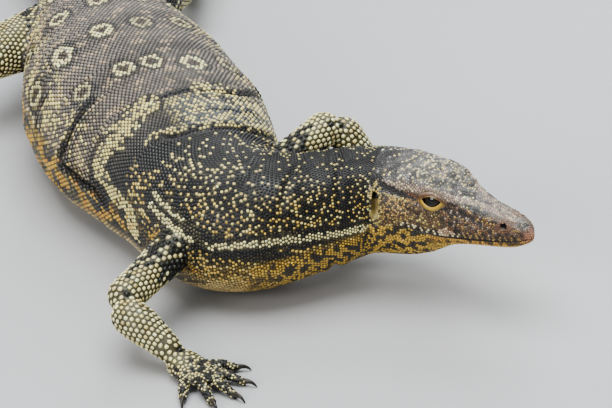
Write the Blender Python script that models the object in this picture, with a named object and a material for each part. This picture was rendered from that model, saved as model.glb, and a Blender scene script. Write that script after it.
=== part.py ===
"""Water monitor lizard, life size, lying on its belly with the neck bent to its left and the head raised.

The frame is metres with +Z up. The origin is on the floor under the middle of the whole animal's box,
the trunk points along +X and the animal's left is +Y. Distances called "behind the snout" run along
the spine from the tip of the snout to the tip of the tail.
"""

import math
from typing import NamedTuple

import bmesh
import bpy
import numpy as np
from mathutils import Matrix, Vector

# Gaps and mesh sizes
GAP = 0.0003
VOXEL = 0.0021
BODY_TRIANGLES = 7000
HEAD_TRIANGLES = 2400

# Stations behind the snout
CROWN_END = 0.131
MID_TRUNK = 0.394
TAIL_TIP = 1.694
BOX_MIDDLE = (-0.46613, -0.02720)
BODY_FRONT = 0.095
HEAD_BACK = 0.150


class Station(NamedTuple):
    """One section of the body: where it is, where the spine points there, and its outline."""

    behind_snout: float
    heading_deg: float
    half_width: float
    top: float
    bottom: float
    widest: float
    roundness_top: float
    roundness_bottom: float


STATIONS = (
    Station(0.0000, 34, 0.0010, 0.0660, 0.0632, 0.42, 2.3, 2.3),
    Station(0.0015, 34, 0.0040, 0.0688, 0.0613, 0.42, 2.3, 2.3),
    Station(0.0050, 34, 0.0080, 0.0722, 0.0592, 0.40, 2.5, 2.4),
    Station(0.0110, 34, 0.0108, 0.0753, 0.0565, 0.38, 2.7, 2.5),
    Station(0.0220, 34, 0.0131, 0.0782, 0.0538, 0.36, 2.9, 2.5),
    Station(0.0350, 34, 0.0150, 0.0812, 0.0514, 0.34, 2.9, 2.5),
    Station(0.0500, 34, 0.0178, 0.0857, 0.0485, 0.34, 3.0, 2.5),
    Station(0.0620, 34, 0.0206, 0.0905, 0.0450, 0.35, 3.3, 2.5),
    Station(0.0730, 34, 0.0234, 0.0943, 0.0395, 0.38, 3.6, 2.4),
    Station(0.0860, 35, 0.0268, 0.0968, 0.0318, 0.40, 3.4, 2.3),
    Station(0.1000, 37, 0.0300, 0.0980, 0.0265, 0.40, 3.0, 2.2),
    Station(0.1180, 42, 0.0335, 0.0984, 0.0238, 0.40, 2.6, 2.2),
    Station(0.1340, 60, 0.0350, 0.0982, 0.0225, 0.40, 2.4, 2.2),
    Station(0.1570, 82, 0.0385, 0.0982, 0.0190, 0.40, 2.3, 2.2),
    Station(0.1900, 82, 0.0435, 0.0990, 0.0130, 0.40, 2.2, 2.3),
    Station(0.2240, 55, 0.0530, 0.1010, 0.0060, 0.40, 2.2, 2.5),
    Station(0.2560, 16, 0.0565, 0.1030, 0.0005, 0.41, 2.2, 2.7),
    Station(0.2940, 2, 0.0625, 0.1050, -0.0010, 0.41, 2.2, 2.9),
    Station(0.3440, 6, 0.0740, 0.1080, -0.0015, 0.40, 2.2, 3.0),
    Station(0.4040, 8, 0.0845, 0.1110, -0.0015, 0.39, 2.2, 3.0),
    Station(0.4640, 0, 0.0840, 0.1100, -0.0015, 0.39, 2.2, 3.0),
    Station(0.5240, -2, 0.0740, 0.1040, -0.0015, 0.40, 2.2, 2.9),
    Station(0.5840, -5, 0.0590, 0.0950, -0.0010, 0.42, 2.2, 2.7),
    Station(0.6340, -5, 0.0470, 0.0860, 0.0010, 0.44, 2.2, 2.5),
    Station(0.6840, -1, 0.0390, 0.0780, 0.0005, 0.44, 2.1, 2.4),
    Station(0.7540, 4, 0.0318, 0.0710, -0.0010, 0.43, 2.0, 2.3),
    Station(0.8740, 11, 0.0235, 0.0625, -0.0010, 0.42, 1.8, 2.2),
    Station(1.0440, 14, 0.0165, 0.0520, -0.0010, 0.41, 1.7, 2.1),
    Station(1.2440, 4, 0.0112, 0.0390, -0.0010, 0.40, 1.7, 2.1),
    Station(1.4440, -16, 0.0070, 0.0255, -0.0010, 0.40, 1.7, 2.1),
    Station(1.5940, -30, 0.0042, 0.0150, -0.0008, 0.42, 1.8, 2.1),
    Station(1.6790, -36, 0.0024, 0.0074, -0.0005, 0.46, 2.0, 2.0),
    Station(1.6940, -37, 0.0006, 0.0030, 0.0010, 0.50, 2.0, 2.0),
)

# The low keel along the top of the tail
KEEL_HEIGHT = 0.0022
KEEL_HALF_WIDTH = 0.0035
KEEL_START = 0.72
KEEL_FULL = 0.85

# Thin cuts across the body: node behind each cut, how far behind the snout it starts, how far the cut
# is turned from square to the spine, in degrees, and how far it is moved to the left
BODY_CUTS = (
    ("chest", 0.188, -16, -0.003),
    ("abdomen", 0.360, 0, 0),
    ("pelvis", 0.545, 0, 0),
    ("tail_1", 0.680, 0, 0),
    ("tail_2", 0.870, 0, 0),
    ("tail_3", 1.070, 0, 0),
    ("tail_4", 1.270, 0, 0),
    ("tail_5", 1.470, 0, 0),
)
LAST_CUT_SPAN = 0.11

# The eye
EYE_BEHIND_SNOUT = 0.0757
EYE_SIDE = 0.0123
EYE_HEIGHT = 0.0812
EYE_RADIUS = 0.0095
EYE_TURNED_FORWARD = 12
EYE_TURNED_UP = 12
LID_RADII = (0.0132, 0.0106, 0.0103)
EYE_SLIT_HALF_LENGTH = 0.0090
EYE_SLIT_UP = 0.0040
EYE_SLIT_DOWN = 0.0045

# Nostril and ear
NOSTRIL_BEHIND_SNOUT = 0.0172
NOSTRIL_SIDE = 0.0112
NOSTRIL_HEIGHT = 0.0732
NOSTRIL_RADII = (0.0036, 0.0030, 0.0022)
EAR_BEHIND_SNOUT = 0.1185
EAR_SIDE = 0.0335
EAR_HEIGHT = 0.0738
EAR_RADII = (0.0048, 0.0056, 0.0102)

# The mouth line: distance behind the snout and height
MOUTH_LINE = (
    (-0.006, 0.0652),
    (0.000, 0.0650),
    (0.012, 0.0636),
    (0.030, 0.0606),
    (0.050, 0.0580),
    (0.068, 0.0570),
    (0.080, 0.0586),
    (0.089, 0.0618),
)
JAW_ANGLE = (0.1035, 0.0180)

# Shapes raised on the head or sunk into it: height, reach, and the line that each follows on the
# left side as (behind snout, side, height)
HEAD_FORMS = (
    ("brow", 0.0022, 0.0040, ((0.112, 0.025, 0.0925), (0.096, 0.0235, 0.0955), (0.086, 0.0215, 0.0955),
                              (0.075, 0.0200, 0.0935), (0.062, 0.0165, 0.0890))),
    ("canthus", 0.0012, 0.0030, ((0.058, 0.0155, 0.0872), (0.044, 0.0128, 0.0832), (0.029, 0.0105, 0.0798))),
    ("orbit", -0.0018, 0.0080, ((0.0790, 0.0215, 0.0810), (0.0730, 0.0205, 0.0805))),
    ("temple", -0.0020, 0.0075, ((0.088, 0.0250, 0.0845), (0.104, 0.0280, 0.0840))),
    ("lore", -0.0013, 0.0050, ((0.060, 0.0185, 0.0790), (0.036, 0.0140, 0.0735))),
    ("jaw_muscle", 0.0024, 0.0110, ((0.092, 0.0270, 0.0660), (0.108, 0.0290, 0.0670))),
    ("upper_lip", 0.0008, 0.0030, ((0.006, 0.0095, 0.0680), (0.030, 0.0140, 0.0665), (0.055, 0.0180, 0.0640),
                                   (0.078, 0.0235, 0.0640))),
    ("lower_lip", 0.0005, 0.0026, ((0.006, 0.0090, 0.0612), (0.030, 0.0135, 0.0585), (0.055, 0.0175, 0.0565),
                                   (0.078, 0.0225, 0.0570))),
    ("nose", 0.0010, 0.0050, ((0.010, 0.0085, 0.0735), (0.022, 0.0115, 0.0750))),
    ("crown", -0.0008, 0.0065, ((0.060, 0.0, 0.0895), (0.086, 0.0, 0.0955))),
    ("throat", 0.0020, 0.0140, ((0.085, 0.0, 0.0460), (0.120, 0.0, 0.0440))),
)


class Limb(NamedTuple):
    """A leg: its root on the body, the length, yaw and pitch of its two long parts, and its foot."""

    root_station: float
    root_side: float
    root_height: float
    upper: tuple
    lower: tuple
    upper_radii: tuple
    lower_radii: tuple
    foot_yaw: float
    foot_length: float
    foot_half_width: float
    digit_fan: tuple
    digit_lengths: tuple
    digit_radius: float


ARM_UPPER_RADII = (0.0200, 0.0162, 0.0136, 0.0134)
ARM_LOWER_RADII = (0.0132, 0.0140, 0.0116, 0.0092)
LEG_UPPER_RADII = (0.0280, 0.0258, 0.0220, 0.0182)
LEG_LOWER_RADII = (0.0175, 0.0178, 0.0140, 0.0105)
HAND_FAN = (44, 21, 0, -21, -46)
HAND_LENGTHS = (0.020, 0.028, 0.032, 0.031, 0.022)
FOOT_FAN = (34, 16, 0, -15, -48)
FOOT_LENGTHS = (0.022, 0.033, 0.043, 0.051, 0.032)

# A side of +1 is the animal's left. Yaw turns from +X towards +Y, and pitch is below the level.
LIMBS = {
    "right_fore": Limb(0.246, -0.047, 0.048, (0.080, -50, 6), (0.062, 40, 34), ARM_UPPER_RADII,
                       ARM_LOWER_RADII, 28, 0.026, 0.0145, HAND_FAN, HAND_LENGTHS, 0.0045),
    "left_fore": Limb(0.262, 0.042, 0.062, (0.072, 118, -14), (0.074, 48, 60), ARM_UPPER_RADII,
                      ARM_LOWER_RADII, 50, 0.026, 0.0145, HAND_FAN, HAND_LENGTHS, 0.0045),
    "right_hind": Limb(0.606, -0.034, 0.050, (0.100, -56, -6), (0.088, -132, 33), LEG_UPPER_RADII,
                       LEG_LOWER_RADII, -52, 0.036, 0.0160, FOOT_FAN, FOOT_LENGTHS, 0.0047),
    "left_hind": Limb(0.612, 0.030, 0.050, (0.100, 138, 4), (0.088, 172, 29), LEG_UPPER_RADII,
                      LEG_LOWER_RADII, 128, 0.036, 0.0160, FOOT_FAN, FOOT_LENGTHS, 0.0047),
}
# Where each leg is cut from the body: how far along its upper part, the yaw of the cut and its size
ROOT_CUT = {"right_fore": (0.026, -50, 0.066), "left_fore": (0.033, 118, 0.060),
            "right_hind": (0.044, -102, 0.092), "left_hind": (0.046, 108, 0.090)}
# How far along its lower part each leg is cut from its foot
ANKLE_CUT = {"fore": 0.88, "hind": 0.78}
SEGMENT_NAMES = {"fore": ("upper_arm", "forearm", "hand"), "hind": ("thigh", "shin", "foot")}
KNUCKLE_HEIGHT = 0.0066
FOOT_BACK_HEIGHT = 0.0098
SOLE_SINK = 0.0018

# Claws
CLAW_LENGTH = 0.0115
CLAW_HEIGHT = 0.0031
CLAW_BASE_RADIUS = 0.0025
CLAW_TIP_RADIUS = 0.0005
CLAW_START_PITCH = 24
CLAW_END_PITCH = -62
CLAW_RINGS = 6
CLAW_SEGMENTS = 6

# Colours as linear RGB, with roughness
FINISHES = {
    "skin": ((0.050, 0.047, 0.040), 0.5),
    "eye": ((0.010, 0.008, 0.006), 0.08),
    "claw": ((0.030, 0.026, 0.020), 0.35),
}


def clear_scene():
    for old in list(bpy.data.objects):
        bpy.data.objects.remove(old)


def finish(name):
    """The named material, made on first use."""
    found = bpy.data.materials.get(name)
    if found:
        return found
    made = bpy.data.materials.new(name)
    made.use_nodes = True
    shader = made.node_tree.nodes["Principled BSDF"]
    colour, roughness = FINISHES[name]
    shader.inputs["Base Color"].default_value = (*colour, 1.0)
    shader.inputs["Roughness"].default_value = roughness
    made.diffuse_color = (*colour, 1.0)
    return made


def smooth_curve(xs, ys):
    """A function through the points (xs, ys) that never overshoots between them."""
    xs = np.asarray(xs, float)
    ys = np.asarray(ys, float)
    steps = np.diff(xs)
    slopes = np.diff(ys) / steps
    tangents = np.zeros(len(xs))
    same_way = slopes[:-1] * slopes[1:] > 0
    before = 2 * steps[1:] + steps[:-1]
    after = steps[1:] + 2 * steps[:-1]
    safe = np.where(same_way, slopes[:-1] * slopes[1:], 1.0)
    mean = (before + after) * safe / (before * slopes[1:] + after * slopes[:-1] + (~same_way))
    tangents[1:-1] = np.where(same_way, mean, 0.0)
    tangents[0] = slopes[0]
    tangents[-1] = slopes[-1]

    def value(x):
        x = np.clip(np.asarray(x, float), xs[0], xs[-1])
        i = np.clip(np.searchsorted(xs, x, side="right") - 1, 0, len(steps) - 1)
        t = (x - xs[i]) / steps[i]
        rise = (1 + 2 * t) * (1 - t) ** 2 * ys[i] + t * t * (3 - 2 * t) * ys[i + 1]
        turn = t * (1 - t) ** 2 * tangents[i] - t * t * (1 - t) * tangents[i + 1]
        return rise + steps[i] * turn

    return value


def station_curve(field):
    """One field of the stations as a function of the distance behind the snout."""
    return smooth_curve([s.behind_snout for s in STATIONS], [getattr(s, field) for s in STATIONS])


HEADING = station_curve("heading_deg")
HALF_WIDTH = station_curve("half_width")
TOP = station_curve("top")
BOTTOM = station_curve("bottom")
WIDEST = station_curve("widest")
ROUND_TOP = station_curve("roundness_top")
ROUND_BOTTOM = station_curve("roundness_bottom")

SPINE_STEP = 0.001
SPINE_S = np.arange(0.0, TAIL_TIP + SPINE_STEP, SPINE_STEP)


def spine_path():
    """The spine's plan position at each millimetre. BOX_MIDDLE is measured from the middle of the trunk."""
    heading = np.radians(HEADING(SPINE_S + SPINE_STEP / 2))
    x = -np.concatenate([[0.0], np.cumsum(np.cos(heading) * SPINE_STEP)])[:-1]
    y = -np.concatenate([[0.0], np.cumsum(np.sin(heading) * SPINE_STEP)])[:-1]
    x -= np.interp(MID_TRUNK, SPINE_S, x) + BOX_MIDDLE[0]
    y -= np.interp(MID_TRUNK, SPINE_S, y) + BOX_MIDDLE[1]
    return x, y


SPINE_X, SPINE_Y = spine_path()


def spine_frame(s):
    """Centre in plan, forward and left unit vectors of the spine at s behind the snout."""
    heading = np.radians(HEADING(s))
    centre = np.stack([np.interp(s, SPINE_S, SPINE_X), np.interp(s, SPINE_S, SPINE_Y)], axis=-1)
    forward = np.stack([np.cos(heading), np.sin(heading)], axis=-1)
    left = np.stack([-np.sin(heading), np.cos(heading)], axis=-1)
    return centre, forward, left


def to_world(s, side, height):
    """A point given by the distance behind the snout, to the left and above the floor."""
    s, side, height = np.broadcast_arrays(*(np.asarray(v, float) for v in (s, side, height)))
    centre, _, left = spine_frame(s)
    plan = centre + left * side[..., None]
    return np.concatenate([plan, height[..., None]], axis=-1)


def body_section(s, angle):
    """Side and height of the body's outline at s, where angle 0 is the left and a quarter turn the back."""
    across = np.cos(angle)
    rise = np.sin(angle)
    upper = rise >= 0
    power = 2.0 / np.where(upper, ROUND_TOP(s), ROUND_BOTTOM(s))
    top, bottom = TOP(s), BOTTOM(s)
    middle = bottom + WIDEST(s) * (top - bottom)
    reach = np.where(upper, top - middle, middle - bottom)
    side = HALF_WIDTH(s) * np.sign(across) * np.abs(across) ** power
    height = middle + np.sign(rise) * reach * np.abs(rise) ** power
    share = np.clip((s - KEEL_START) / (KEEL_FULL - KEEL_START), 0, 1)
    keel = KEEL_HEIGHT * share * np.minimum(1.0, (top - bottom) / 0.03)
    return side, height + np.where(upper, keel * np.exp(-((side / KEEL_HALF_WIDTH) ** 2)), 0.0)


def closed_loft(rings, segments, place, even=True):
    """A closed mesh shaped from a ball: place(t, angle) says where each of its points goes.

    t runs from 0 at one pole to 1 at the other, evenly, or more closely near the poles."""
    ball = bmesh.new()
    bmesh.ops.create_uvsphere(ball, u_segments=segments, v_segments=rings, radius=1.0)
    points = np.array([v.co for v in ball.verts])
    height = np.clip(points[:, 2], -1, 1)
    t = np.arccos(height) / math.pi if even else (1 - height) / 2
    angle = np.arctan2(points[:, 1], points[:, 0])
    for vertex, position in zip(ball.verts, place(t, angle)):
        vertex.co = position
    bmesh.ops.recalc_face_normals(ball, faces=ball.faces)
    return ball


def into(target, source):
    """Adds the source's mesh to the target and frees the source."""
    scratch = bpy.data.meshes.new("scratch")
    source.to_mesh(scratch)
    source.free()
    target.from_mesh(scratch)
    bpy.data.meshes.remove(scratch)


def object_of(name, mesh, material=None):
    """A linked object that holds the bmesh."""
    data = bpy.data.meshes.new(name)
    mesh.to_mesh(data)
    mesh.free()
    made = bpy.data.objects.new(name, data)
    bpy.context.scene.collection.objects.link(made)
    if material:
        data.materials.append(finish(material))
    return made


def baked(obj):
    """Replaces the object's mesh by what its modifiers make, and removes them."""
    graph = bpy.context.evaluated_depsgraph_get()
    graph.update()
    result = bpy.data.meshes.new_from_object(obj.evaluated_get(graph))
    obj.modifiers.clear()
    old = obj.data
    obj.data = result
    bpy.data.meshes.remove(old)


def tube(path, widths, heights, rings=18, segments=18, round_start=True, round_end=True):
    """A closed tube along a smooth path, with its width and height given at evenly spaced shares of it."""
    path = np.asarray(path, float)
    lengths = np.concatenate([[0.0], np.cumsum(np.linalg.norm(np.diff(path, axis=0), axis=1))])
    total = lengths[-1]
    axis_curves = [smooth_curve(lengths / total, path[:, k]) for k in range(3)]
    stops = np.linspace(0, 1, len(widths))
    width_curve = smooth_curve(stops, widths)
    height_curve = smooth_curve(stops, heights)

    def place(t, angle):
        centre = np.stack([curve(t) for curve in axis_curves], axis=-1)
        ahead = np.stack([curve(np.minimum(t + 0.01, 1)) for curve in axis_curves], axis=-1)
        behind = np.stack([curve(np.maximum(t - 0.01, 0)) for curve in axis_curves], axis=-1)
        along = ahead - behind
        along /= np.linalg.norm(along, axis=1, keepdims=True)
        side = np.cross(np.array([0.0, 0.0, 1.0]), along)
        side /= np.linalg.norm(side, axis=1, keepdims=True)
        up = np.cross(along, side)
        width = width_curve(t)
        height = height_curve(t)
        to_end = np.ones_like(t)
        if round_start:
            near = np.clip(t * total / width, 0, 1)
            to_end = np.minimum(to_end, np.sqrt(1 - (1 - near) ** 2))
        if round_end:
            near = np.clip((1 - t) * total / width, 0, 1)
            to_end = np.minimum(to_end, np.sqrt(1 - (1 - near) ** 2))
        pole = (t <= 1e-6) | (t >= 1 - 1e-6)
        to_end = np.where(pole, 0.0, to_end)
        across = (width * to_end * np.cos(angle))[:, None] * side
        lift = (height * to_end * np.sin(angle))[:, None] * up
        return centre + across + lift

    return closed_loft(rings, segments, place, even=False)


def direction(yaw_deg, below_level_deg=0.0):
    yaw, pitch = math.radians(yaw_deg), math.radians(below_level_deg)
    level = math.cos(pitch)
    return np.array([math.cos(yaw) * level, math.sin(yaw) * level, -math.sin(pitch)])


class Joints(NamedTuple):
    """Where a leg bends, and where each of its digits starts and ends."""

    root: np.ndarray
    elbow: np.ndarray
    wrist: np.ndarray
    knuckles: tuple
    tips: tuple
    yaws: tuple


def joints_of(limb):
    """Works out the leg's places from its lengths and angles."""
    side = 1.0 if limb.root_side > 0 else -1.0
    root = to_world(limb.root_station, limb.root_side, limb.root_height)
    elbow = root + limb.upper[0] * direction(*limb.upper[1:])
    wrist = elbow + limb.lower[0] * direction(*limb.lower[1:])
    wrist[2] = FOOT_BACK_HEIGHT + 0.002
    ahead = direction(limb.foot_yaw)
    left = direction(limb.foot_yaw + 90)
    knuckles, tips, yaws = [], [], []
    count = len(limb.digit_fan)
    for i, (fan, length) in enumerate(zip(limb.digit_fan, limb.digit_lengths)):
        # The first digit is the inner one, on the side of the body's middle line.
        across = (1 - 2 * i / (count - 1)) * (limb.foot_half_width - limb.digit_radius * 0.6)
        set_back = 0.30 * limb.foot_length * abs(1 - 2 * i / (count - 1)) ** 2
        knuckle = wrist + ahead * (limb.foot_length - set_back) - side * left * across
        knuckle[2] = KNUCKLE_HEIGHT
        yaw = limb.foot_yaw - side * fan
        tip = knuckle + direction(yaw) * length
        tip[2] = limb.digit_radius * 0.80 - SOLE_SINK
        knuckles.append(knuckle)
        tips.append(tip)
        yaws.append(yaw)
    return Joints(root, elbow, wrist, tuple(knuckles), tuple(tips), tuple(yaws))


def arm_tubes(limb, joints):
    """The long parts of a leg and its foot, each a closed tube that runs into the next."""
    inside = joints.root - 0.35 * limb.upper[0] * direction(*limb.upper[1:])
    inside[2] = joints.root[2]
    middle = (joints.root + joints.elbow) / 2
    yield tube([inside, joints.root, middle, joints.elbow], limb.upper_radii,
               [r * 0.96 for r in limb.upper_radii])
    bulge = joints.elbow + 0.4 * (joints.wrist - joints.elbow) + np.array([0, 0, 0.0015])
    yield tube([joints.elbow, bulge, joints.wrist], limb.lower_radii,
               [r * 0.94 for r in limb.lower_radii])
    ahead = direction(limb.foot_yaw)
    heel = joints.wrist - ahead * 0.008
    heel[2] = FOOT_BACK_HEIGHT
    front = joints.wrist + ahead * limb.foot_length * 0.95
    front[2] = KNUCKLE_HEIGHT - SOLE_SINK
    middle = (heel + front) / 2
    middle[2] = (heel[2] + front[2]) / 2
    wide = limb.foot_half_width
    yield tube([heel, middle, front], (wide * 0.66, wide * 0.95, wide),
               [z + SOLE_SINK / 2 for z in (heel[2], middle[2], front[2])], segments=20)


def digit_tube(limb, knuckle, tip, yaw):
    """One digit: out of the foot, over its joints and down to the floor."""
    along = tip - knuckle
    start = knuckle - direction(yaw) * 0.009
    start[2] = KNUCKLE_HEIGHT - 0.001
    first = knuckle + along * 0.30
    first[2] = KNUCKLE_HEIGHT + 0.0006
    second = knuckle + along * 0.70
    second[2] = (KNUCKLE_HEIGHT + tip[2]) / 2 + 0.0006
    end = tip + direction(yaw) * 0.003
    r = limb.digit_radius
    return tube([start, first, second, end], (r, r * 1.05, r * 0.86, r * 0.98, r * 0.80, r * 0.88),
                (r, r * 1.02, r * 0.86, r * 0.94, r * 0.80, r * 0.86), rings=20, segments=12)


def body_whole(all_joints):
    """Neck, trunk, tail and legs as one smooth closed mesh, not yet parted."""
    whole = bmesh.new()

    def place(t, angle):
        s = BODY_FRONT + t * (TAIL_TIP - BODY_FRONT)
        side, height = body_section(s, angle)
        pole = (t <= 1e-6) | (t >= 1 - 1e-6)
        middle = (TOP(s) + BOTTOM(s)) / 2
        return to_world(s, np.where(pole, 0.0, side), np.where(pole, middle, height))

    into(whole, closed_loft(260, 56, place))
    for key, limb in LIMBS.items():
        joints = all_joints[key]
        for part in arm_tubes(limb, joints):
            into(whole, part)
        for knuckle, tip, yaw in zip(joints.knuckles, joints.tips, joints.yaws):
            into(whole, digit_tube(limb, knuckle, tip, yaw))
    made = object_of("body", whole)
    fuse = made.modifiers.new("fuse", "REMESH")
    fuse.mode = "VOXEL"
    fuse.voxel_size = VOXEL
    relax = made.modifiers.new("relax", "SMOOTH")
    relax.factor = 0.5
    relax.iterations = 4
    baked(made)
    thin = made.modifiers.new("thin", "DECIMATE")
    thin.ratio = BODY_TRIANGLES / (2.0 * len(made.data.polygons))
    baked(made)
    return made


def box(name, centre, axes, sizes):
    """A cutter: a box with its three axes and its full sizes along them."""
    cutter = bmesh.new()
    bmesh.ops.create_cube(cutter, size=1.0)
    turn = Matrix([[float(axes[j][i]) * sizes[j] for j in range(3)] for i in range(3)]).to_4x4()
    turn.translation = Vector([float(c) for c in centre])
    bmesh.ops.transform(cutter, matrix=turn, verts=cutter.verts)
    bmesh.ops.recalc_face_normals(cutter, faces=cutter.faces)
    made = object_of(name, cutter)
    made.hide_render = True
    made.display_type = "WIRE"
    return made


def slab_across(name, centre, along, wide, thick=GAP):
    """A thin square cutter across a limb or a tail."""
    along = np.asarray(along, float) / np.linalg.norm(along)
    side = np.cross([0.0, 0.0, 1.0], along)
    side /= np.linalg.norm(side)
    up = np.cross(along, side)
    return box(name, centre, (along, side, up), (thick, wide, wide))


UP = np.array([0.0, 0.0, 1.0])


def body_cutters(all_joints):
    """Everything that parts the body: the floor, the head's room, and the cuts between the nodes."""
    cutters = [box("floor_cutter", (0.0, 0.0, -0.02), np.eye(3), (3.0, 2.0, 0.04))]
    centre, forward, left = spine_frame(CROWN_END)
    axes = (np.append(forward, 0.0), np.append(left, 0.0), UP)
    room = np.append(centre + forward * 0.06, 0.075)
    cutters.append(box("head_room", room - axes[0] * GAP / 2, axes, (0.12, 0.10, 0.13)))
    for name, s, turn, shift in BODY_CUTS:
        yaw = float(HEADING(s)) + turn
        centre = spine_frame(s)[0] + direction(yaw + 90)[:2] * shift
        axes = (direction(yaw), direction(yaw + 90), UP)
        wide = 2 * float(HALF_WIDTH(s)) + 0.022
        tall = float(TOP(s)) + 0.03
        cutters.append(box("cut_" + name, np.append(centre, tall / 2 - 0.01), axes, (GAP, wide, tall)))
    for key, limb in LIMBS.items():
        joints = all_joints[key]
        upper = direction(*limb.upper[1:])
        reach, yaw, wide = ROOT_CUT[key]
        root = joints.root + upper * reach
        cutters.append(slab_across("cut_root_" + key, root, direction(yaw), wide))
        bisector = upper + direction(*limb.lower[1:])
        cutters.append(slab_across("cut_elbow_" + key, joints.elbow, bisector, 4.2 * limb.lower_radii[0]))
        lower = joints.wrist - joints.elbow
        ankle = joints.elbow + lower * ANKLE_CUT[key.split("_")[1]]
        cutters.append(slab_across("cut_wrist_" + key, ankle, lower, 4.8 * limb.lower_radii[3]))
        for i, (tip, yaw) in enumerate(zip(joints.tips, joints.yaws)):
            ahead = direction(yaw)
            centre = tip + ahead * 0.005
            axes = (ahead, direction(yaw + 90), UP)
            cutters.append(box(f"cut_claw_{key}_{i}", centre, axes, (0.010, 0.011, 0.022)))
    return cutters


def cut_away(obj, cutters, solver="EXACT", operation="DIFFERENCE"):
    """Applies one Boolean with all the cutters, and removes them."""
    group = bpy.data.collections.new("cutters")
    bpy.context.scene.collection.children.link(group)
    for cutter in cutters:
        bpy.context.scene.collection.objects.unlink(cutter)
        group.objects.link(cutter)
    boolean = obj.modifiers.new("cut", "BOOLEAN")
    boolean.operation = operation
    boolean.solver = solver
    boolean.operand_type = "COLLECTION"
    boolean.collection = group
    baked(obj)
    for cutter in cutters:
        bpy.data.objects.remove(cutter)
    bpy.data.collections.remove(group)


def islands(obj):
    """The object's separate closed surfaces, each as its own bmesh, largest first."""
    whole = bmesh.new()
    whole.from_mesh(obj.data)
    whole.verts.index_update()
    seen = set()
    found = []
    for start in whole.verts:
        if start.index in seen:
            continue
        stack, members = [start], []
        seen.add(start.index)
        while stack:
            vertex = stack.pop()
            members.append(vertex.index)
            for edge in vertex.link_edges:
                other = edge.other_vert(vertex)
                if other.index not in seen:
                    seen.add(other.index)
                    stack.append(other)
        found.append(set(members))
    found.sort(key=len, reverse=True)
    pieces = []
    for members in found:
        piece = whole.copy()
        piece.verts.ensure_lookup_table()
        extra = [v for v in piece.verts if v.index not in members]
        bmesh.ops.delete(piece, geom=extra, context="VERTS")
        pieces.append(piece)
    whole.free()
    return pieces


def part_names(all_joints):
    """A point well inside each node that the body is cut into."""
    marks = {"neck": to_world(0.165, 0.0, 0.065)}
    starts = [s for _, s, _, _ in BODY_CUTS] + [BODY_CUTS[-1][1] + 2 * LAST_CUT_SPAN]
    for (name, start, _, _), end in zip(BODY_CUTS, starts[1:]):
        middle = (start + end) / 2
        marks[name] = to_world(middle, 0.0, float(TOP(middle)) * 0.45)
    for key, joints in all_joints.items():
        side, kind = key.split("_")
        upper, lower, end = SEGMENT_NAMES[kind]
        marks[f"{upper}_{side}"] = joints.root * 0.35 + joints.elbow * 0.65
        marks[f"{lower}_{side}"] = (joints.elbow + joints.wrist) / 2
        marks[f"{end}_{side}"] = joints.wrist + direction(LIMBS[key].foot_yaw) * 0.03
    return marks


def name_pieces(pieces, marks, material):
    """Makes an object of each piece, named after the nearest mark to its middle that is still free."""
    free = dict(marks)
    for piece in pieces[: len(marks)]:
        middle = np.mean([v.co for v in piece.verts], axis=0)
        name = min(free, key=lambda n: np.linalg.norm(free[n] - middle))
        del free[name]
        object_of(name, piece, material)


def claw(tip, yaw):
    """A curved, tapered claw that starts a gap past the end of its digit."""
    steps = np.linspace(0.0, 1.0, CLAW_RINGS)
    pitch = np.radians(CLAW_START_PITCH + (CLAW_END_PITCH - CLAW_START_PITCH) * steps)
    stride = CLAW_LENGTH / (CLAW_RINGS - 1)
    ahead = np.concatenate([[0.0], np.cumsum(np.cos(pitch[:-1]) * stride)])
    rise = np.concatenate([[0.0], np.cumsum(np.sin(pitch[:-1]) * stride)])
    radius = CLAW_TIP_RADIUS + (CLAW_BASE_RADIUS - CLAW_TIP_RADIUS) * (1 - steps) ** 0.8
    base = tip + direction(yaw) * GAP
    base[2] = CLAW_HEIGHT
    forward = direction(yaw)
    left = direction(yaw + 90)
    mesh = bmesh.new()
    loops = []
    for a, r, p, size in zip(ahead, rise, pitch, radius):
        if not loops:
            p = 0.0
        normal = -math.sin(p) * forward + math.cos(p) * UP
        centre = base + forward * a + UP * r
        loop = []
        for k in range(CLAW_SEGMENTS):
            angle = 2 * math.pi * k / CLAW_SEGMENTS
            offset = left * math.cos(angle) * size * 0.8 + normal * math.sin(angle) * size
            loop.append(mesh.verts.new(centre + offset))
        loops.append([mesh.edges.new((loop[k], loop[k - 1])) for k in range(CLAW_SEGMENTS)])
    for first, second in zip(loops, loops[1:]):
        bmesh.ops.bridge_loops(mesh, edges=first + second)
    for ends in (loops[0], loops[-1]):
        bmesh.ops.edgeloop_fill(mesh, edges=ends)
    bmesh.ops.recalc_face_normals(mesh, faces=mesh.faces)
    return mesh


def add_claws(all_joints):
    for key, joints in all_joints.items():
        side, kind = key.split("_")
        end = SEGMENT_NAMES[kind][2]
        for i, (tip, yaw) in enumerate(zip(joints.tips, joints.yaws)):
            made = object_of(f"claw_{end}_{side}_{i + 1}", claw(tip, yaw), "claw")
            made.data.shade_smooth()


def distance_to_line(points, line):
    """How far each point is from the nearest place on a line of several straight runs."""
    line = np.asarray(line, float)
    best = np.full(len(points), np.inf)
    for start, end in zip(line, line[1:]):
        run = end - start
        t = np.clip(((points - start) @ run) / (run @ run), 0, 1)
        best = np.minimum(best, np.linalg.norm(points - (start + t[:, None] * run), axis=1))
    return best


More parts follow.
